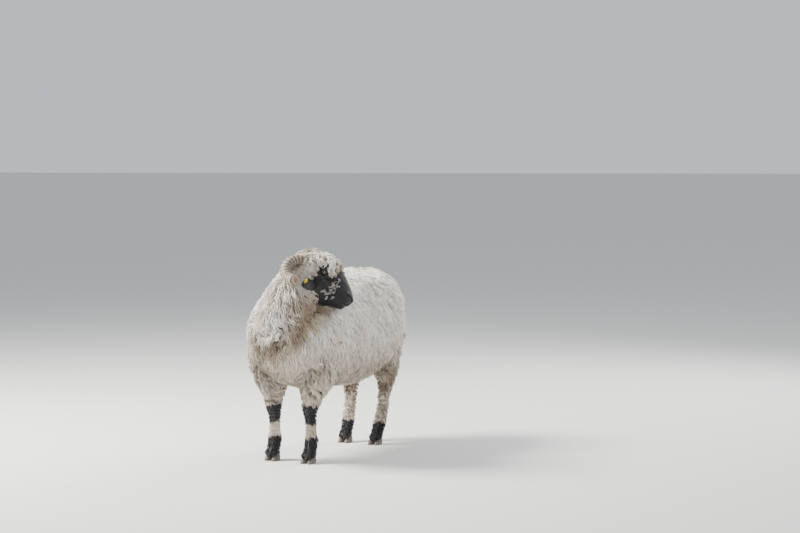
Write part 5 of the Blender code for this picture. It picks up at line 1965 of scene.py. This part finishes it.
    @staticmethod
    def hang(name: str, lots: list[Surface], finish: Finish, slot: str) -> int:
        """Joins lots to pieces under the limit of triangles and puts them into the scene.

        Args:
            name: What the pieces' names start with.
            lots: Surfaces of locks.
            finish: Their finish.
            slot: The record's material slot.

        Returns:
            How many triangles there are in all.
        """
        shelf, total, number = [], 0, 0
        for lot in [*lots, None]:
            held = sum(len(part.triangles) for part in shelf)
            if lot is None or held + len(lot.triangles) > PIECE_TRIANGLES:
                number += 1
                Surface.joined(shelf).to_object(f"{name}_{number}", finish, slot)
                total += held
                shelf = []
            shelf.append(lot)
        return total


class EarCoat(Loft):
    """The furred faces of an ear as a mass: the angle goes over the outer face and back over the inner."""

    def __init__(self, ear: Ear) -> None:
        """Takes over the ear's own sheet, with fur 4 mm deep."""
        self.ear = ear
        straight = [(ear.length * k / 3, 0, 0, ear.width / 2, ear.wall, ear.wall, 0.004) for k in range(4)]
        super().__init__(np.array(straight), matrix=head_matrix())

    def skin_local(self, spots: Spots) -> Array:
        """The ear's middle sheet, moved off by half its wall: outwards where the angle's sine is above 0."""
        wall = (0.5 * self.ear.wall * np.sin(spots.angle))[:, None] * self.ear.axes()[2]
        return self.ear.sheet(0.04 + 0.95 * spots.place, np.cos(spots.angle)) + wall

    def lie(self, spots: Spots) -> Array:
        """Towards the tip of the ear, and a little towards the nearer rim."""
        along, across, _ = self.ear.axes()
        return (along + 0.5 * np.cos(spots.angle)[:, None] * across) @ self.matrix[:3, :3].T


class FaceCoat(HeadLoft):
    """The head with its short fur: a few millimetres deep, lying back from the nose."""

    fur = 0.0015

    def depth(self, spots: Spots) -> Array:
        """The fur's depth, from the rows."""
        return self.row_at(spots.place)[:, -1] + self.fur

    def lie(self, spots: Spots) -> Array:
        """Back from the nose, and down on the sides."""
        ones = np.ones(len(spots))
        return np.stack([-ones, 0.25 * np.cos(spots.angle), -0.35 * ones], -1) @ self.matrix[:3, :3].T


@dataclass
class Fleece:
    """All the wool and fur: long on the body, curly on crown and hind legs, short and black elsewhere."""

    masses: Masses
    long_from: float = 0.015
    curls_to: float = 0.100
    curls_from_depth: float = 0.0085
    fur_to_depth: float = 0.016
    fleck_fur: float = 0.006
    fleck_reach: tuple[float, float] = (0.040, 0.185)
    fleck_eye: tuple[float, float] = (0.021, 0.022)
    curl_eye: float = 0.0215
    face_black: Point = (0.018, 0.017, 0.020)

    def __post_init__(self) -> None:
        """Starts the coat."""
        self.coat = Coat(self.masses)

    def body_tint(self, loft: Loft, spots: Spots) -> Array:
        """The body's markings where the locks' tips come to lie, which is what shows.

        Args:
            loft: The mass.
            spots: Where the locks are rooted.

        Returns:
            A colour for each.
        """
        depth = loft.depth(spots)
        landing = loft.walk(spots, loft.lie(spots), 0.8 * depth)
        return self.masses.markings.body(loft.above(landing, 0.7 * depth))

    def limb(self, loft: Loft, kind: Lock, chart: Chart, seed: int, low: float, high: float) -> list[Surface]:
        """Locks on the stretch of a mass whose coat's depth lies between two values.

        Args:
            loft: The mass.
            kind: How they grow.
            chart: The loft's rectangle of the UV map.
            seed: Shifts the series of spots.
            low: The least depth.
            high: The greatest.

        Returns:
            Lots of locks.
        """
        spots = self.coat.sown(loft, kind, seed)
        coat = loft.row_at(spots.place)[:, -1]
        spots = spots[(coat >= low) & (coat < high)]
        return self.coat.cover(loft, spots, kind, chart, self.body_tint(loft, spots))

    def build(self) -> int:
        """Grows every part of the coat.

        Returns:
            How many triangles it has.
        """
        masses, total = self.masses, 0
        trunk = ((masses.torso, "torso", LONG), (masses.neck, "neck", LONG), (masses.tail, "tail", SHAGGY))
        for column, (loft, name, kind) in enumerate(trunk):
            lots = self.limb(loft, kind, Chart(column, 0), 1 + column, 0, 1)
            total += Coat.hang(f"fleece_{name}", lots, WOOL, "fleece")
        for column, (name, loft) in enumerate(masses.legs.items()):
            kind, chart = SHAGGY if name.startswith("fore") else CURLY, Chart(column, 1)
            lots = self.limb(loft, kind, chart, 4 + column, self.long_from, 1)
            lots += self.limb(loft, SHORT, chart, 14 + column, 0, self.long_from)
            total += Coat.hang(f"fleece_{name}", lots, WOOL, "fleece")
        return total + self.head_wool() + self.head_fur()

    def head_wool(self) -> int:
        """Curls on the crown, behind the mask and under the jaw, with grey ones among the black at its edge.

        Returns:
            How many triangles they have.
        """
        head = self.masses.head
        spots = self.coat.sown(head, CURLY, 30)
        local, depth = head.skin_local(spots), head.depth(spots)
        thick = depth + 0.003 * cloud(local, Noise.WOOL_EDGE) > self.curls_from_depth
        thick &= Eye.nearest(local) >= self.curl_eye
        thick &= local[:, 0] < self.curls_to + 0.008 * cloud(local, Noise.FORELOCK)
        lots = self.coat.cover(head, spots[thick], CURLY, Chart(0, 2), self.wool_tint(local[thick]))
        return Coat.hang("fleece_head", lots + self.flecks(), WOOL, "fleece")

    def flecks(self) -> list[Surface]:
        """Thin grey and straw curls over the bridge of the nose, in a band before the cheek and at the jaw.

        Returns:
            Lots of locks.
        """
        face = self.masses.head_as(FaceCoat)
        face.fur = self.fleck_fur
        spots = self.coat.sown(face, FLECK, 33)
        local = face.skin_local(spots)
        x, _, z = local.T
        bridge = ramp(x, 0.175, 0.120) * ramp(z, 0.035, 0.060)
        cheek = 0.85 * bump(x - 0.148 - 0.30 * z, 0.017) * ramp(z, -0.024, -0.008)
        jaw = 0.75 * bump(np.hypot(x - 0.080, z + 0.045), 0.020)
        wanted = 1.2 * np.max([bridge, cheek, jaw], axis=0) + 0.9 * cloud(local, Noise.FLECK) > 0.52
        end = face.walk(spots, face.lie(spots), 0.9 * face.depth(spots) + 0.006)
        wanted &= (x > self.fleck_reach[0]) & (x < self.fleck_reach[1])
        for points, reach in zip((local, face.skin_local(end)), self.fleck_eye):
            wanted &= Eye.nearest(points) >= reach
        marks = self.masses.markings
        straw = 0.5 * ramp(z, 0.03, 0.07) + 0.15 * cloud(local, Noise.FLECK_STRAW)
        black = np.clip(0.22 + 0.5 * cloud(local, Noise.FLECK_BLACK), 0, 0.8)
        tint = mixed(mixed(marks.grey, marks.straw, straw), marks.black, black)
        return self.coat.cover(face, spots[wanted], FLECK, Chart(0, 2), tint[wanted])

    def wool_tint(self, local: Array) -> Array:
        """Bright on the crown, straw and grey over the forehead's front, the mask's edge and the throat.

        Args:
            local: The locks' roots in the head's axes.

        Returns:
            A colour for each.
        """
        marks = self.masses.markings
        x, _, z = local.T
        crown = ramp(z, 0.045, 0.075)
        soiled = np.clip(0.02 + 0.35 * cloud(local, Noise.CROWN) + 0.7 * ramp(x, 0.065, 0.10), 0, 1)
        soiled = soiled * crown + (0.62 + 0.35 * cloud(local, Noise.CHEEK)) * (1 - crown)
        edge = (1 - crown) * ramp(x, 0.020, 0.052) * ramp(cloud(local, Noise.GREY), -0.5, 0.3)
        return mixed(mixed(marks.cream, marks.straw, soiled), marks.grey, 0.8 * edge)

    def head_fur(self) -> int:
        """Short tufts in the face's own markings that lie back from the nose, and the black ones of the ears.

        Returns:
            How many triangles they have.
        """
        face = self.masses.head_as(FaceCoat)
        spots = self.coat.sown(face, FLAT, 31)
        local = face.skin_local(spots)
        clear = self.clear_of_openings(local) & (self.masses.head.depth(spots) < self.fur_to_depth)
        tint = np.maximum(self.masses.markings.head(local[clear]), self.face_black)
        lots = self.coat.cover(face, spots[clear], FLAT, Chart(1, 2), tint)
        for column, side in ((2, 1), (3, -1)):
            ear = EarCoat(Ear(side))
            spots = ear.spots(FLAT.density, 32 + column)
            tint = np.tile(self.face_black, (len(spots), 1))
            lots += self.coat.cover(ear, spots, FLAT, Chart(column, 2), tint)
        return Coat.hang("fur_face_and_ears", lots, FUR, "black_face")

    @staticmethod
    def clear_of_openings(local: Array) -> Array:
        """Which roots in the head's axes lie clear of the eyes, the nostrils and the lips."""
        lips = (local[:, 0] > 0.176) & (np.abs(local[:, 2] + 0.019) < 0.007)
        return (Eye.nearest(local) >= 0.021) & (local[:, 0] < 0.222) & ~lips


@dataclass(frozen=True)
class Lamp:
    """A square soft light that shines at the sheep. Its warmth is how much less blue than red it gives."""

    name: str
    place: Point
    size: float
    power: float
    warmth: float
    target: Point = (0, 0, 0.5)

    def build(self) -> None:
        """Hangs the lamp, its back away from its target."""
        light = bpy.data.lights.new(self.name, "AREA")
        light.size, light.energy = self.size, self.power
        light.color = (1.0, 1.0 - 0.4 * self.warmth, 1.0 - self.warmth)
        obj = bpy.data.objects.new(self.name, light)
        place = np.array(self.place)
        obj.matrix_world = turned_to(unit(place - np.array(self.target)), place)
        bpy.context.scene.collection.objects.link(obj)


@dataclass
class Studio:
    """A plain pale floor, soft studio light and the camera at the photograph's angle."""

    floor_size: float = 800.0
    floor_shade: Point = (0.66, 0.66, 0.64)
    floor_roughness: float = 0.9
    sky: Point = (0.80, 0.84, 0.90)
    sky_strength: float = 0.85
    clip_end: float = 1000
    lamps: tuple[Lamp, ...] = (
        Lamp("key", (-2.8, -1.4, 3.6), 1.6, 760, 0.06),
        Lamp("fill", (3.2, -3.4, 1.8), 3.0, 50, 0.0),
        Lamp("back", (1.2, 3.4, 2.8), 2.4, 190, 0.04),
    )

    def floor(self) -> None:
        """A wide flat floor, pale and matt, that runs to the horizon."""
        half = 0.5 * self.floor_size
        mesh = bpy.data.meshes.new("floor")
        corners = [(x * half, y * half, 0) for x, y in ((-1, -1), (1, -1), (1, 1), (-1, 1))]
        mesh.from_pydata(corners, [], [(0, 1, 2, 3)])
        obj = bpy.data.objects.new("floor", mesh)
        bpy.context.scene.collection.objects.link(obj)
        made = bpy.data.materials.new("floor")
        made.use_nodes = True
        look = {"Roughness": self.floor_roughness, "Base Color": (*self.floor_shade, 1)}
        wire(made.node_tree, made.node_tree.nodes["Principled BSDF"], look)
        mesh.materials.append(made)

    def heaven(self) -> None:
        """An even sky that lights everything softly."""
        sky = bpy.data.worlds.new("sky")
        sky.use_nodes = True
        look = {"Color": (*self.sky, 1), "Strength": self.sky_strength}
        wire(sky.node_tree, sky.node_tree.nodes["Background"], look)
        bpy.context.scene.world = sky

    def camera(self) -> None:
        """A camera that sees the middle of the stance, at AIM_HEIGHT, at its pixel of the frame.

        The pixel's distance from the frame's middle over the focal length in pixels is how far the view's
        direction leans to the side and up.
        """
        turn, rise = CAMERA_TURN, CAMERA_RISE
        back = np.array([math.sin(turn) * math.cos(rise), -math.cos(turn) * math.cos(rise), math.sin(rise)])
        right = np.array([math.cos(turn), math.sin(turn), 0.0])
        up = np.cross(back, right)
        focal = CAMERA_LENS / SENSOR * FRAME_SIZE[0]
        aside, above = 0.5 * FRAME_SIZE[0] - AIM_PIXEL[0], AIM_PIXEL[1] - 0.5 * FRAME_SIZE[1]
        away = unit(-back + right * aside / focal + up * above / focal)
        data = bpy.data.cameras.new("camera")
        data.lens, data.sensor_width, data.clip_end = CAMERA_LENS, SENSOR, self.clip_end
        obj = bpy.data.objects.new("camera", data)
        obj.matrix_world = turned_to(-away, STANCE + np.array([0, 0, AIM_HEIGHT]) + back * CAMERA_DISTANCE)
        bpy.context.scene.collection.objects.link(obj)
        bpy.context.scene.camera = obj

    def build(self) -> None:
        """Puts up the floor, the sky, the lamps and the camera."""
        self.floor()
        self.heaven()
        for lamp in self.lamps:
            lamp.build()
        self.camera()


def turned_to(back: Array, place: Array) -> list[list[float]]:
    """A transform at a place whose own +Z points along `back`, its +X level.

    Args:
        back: A unit vector.
        place: The place.

    Returns:
        The matrix, column by column as Blender's world matrices are set.
    """
    across = unit(np.cross([0.0, 0.0, 1.0], back))
    return matrix_of(across, np.cross(back, across), back, place).T.tolist()


def main() -> None:
    """Builds the studio, the skin, the hard parts and the coat in that order."""
    logging.basicConfig(level=logging.INFO, format="%(message)s", stream=sys.stdout)
    Studio().build()
    masses = Masses()
    Skin(masses).build()
    for side, word in ((1, "left"), (-1, "right")):
        eye = Eye(side).ball().moved(head_matrix()).to_object(f"eyeball_{word}", EYE, "eye")
        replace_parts(eye, f"eye_{word}")
        Horn(side).build(word)
        Ear(side).build(word)
    EarTag().build()
    for name, loft in masses.legs.items():
        foot = loft.axis[-1 - loft.dome_steps, :3]
        outer = 1 if name.endswith("left") else -1
        for inner, word in ((outer, "outer"), (-outer, "inner")):
            Claw(inner, foot).build(f"claw_{name}_{word}")
    LOG.info("coat: %d triangles", Fleece(masses).build())


if __name__ == "__main__":
    main()
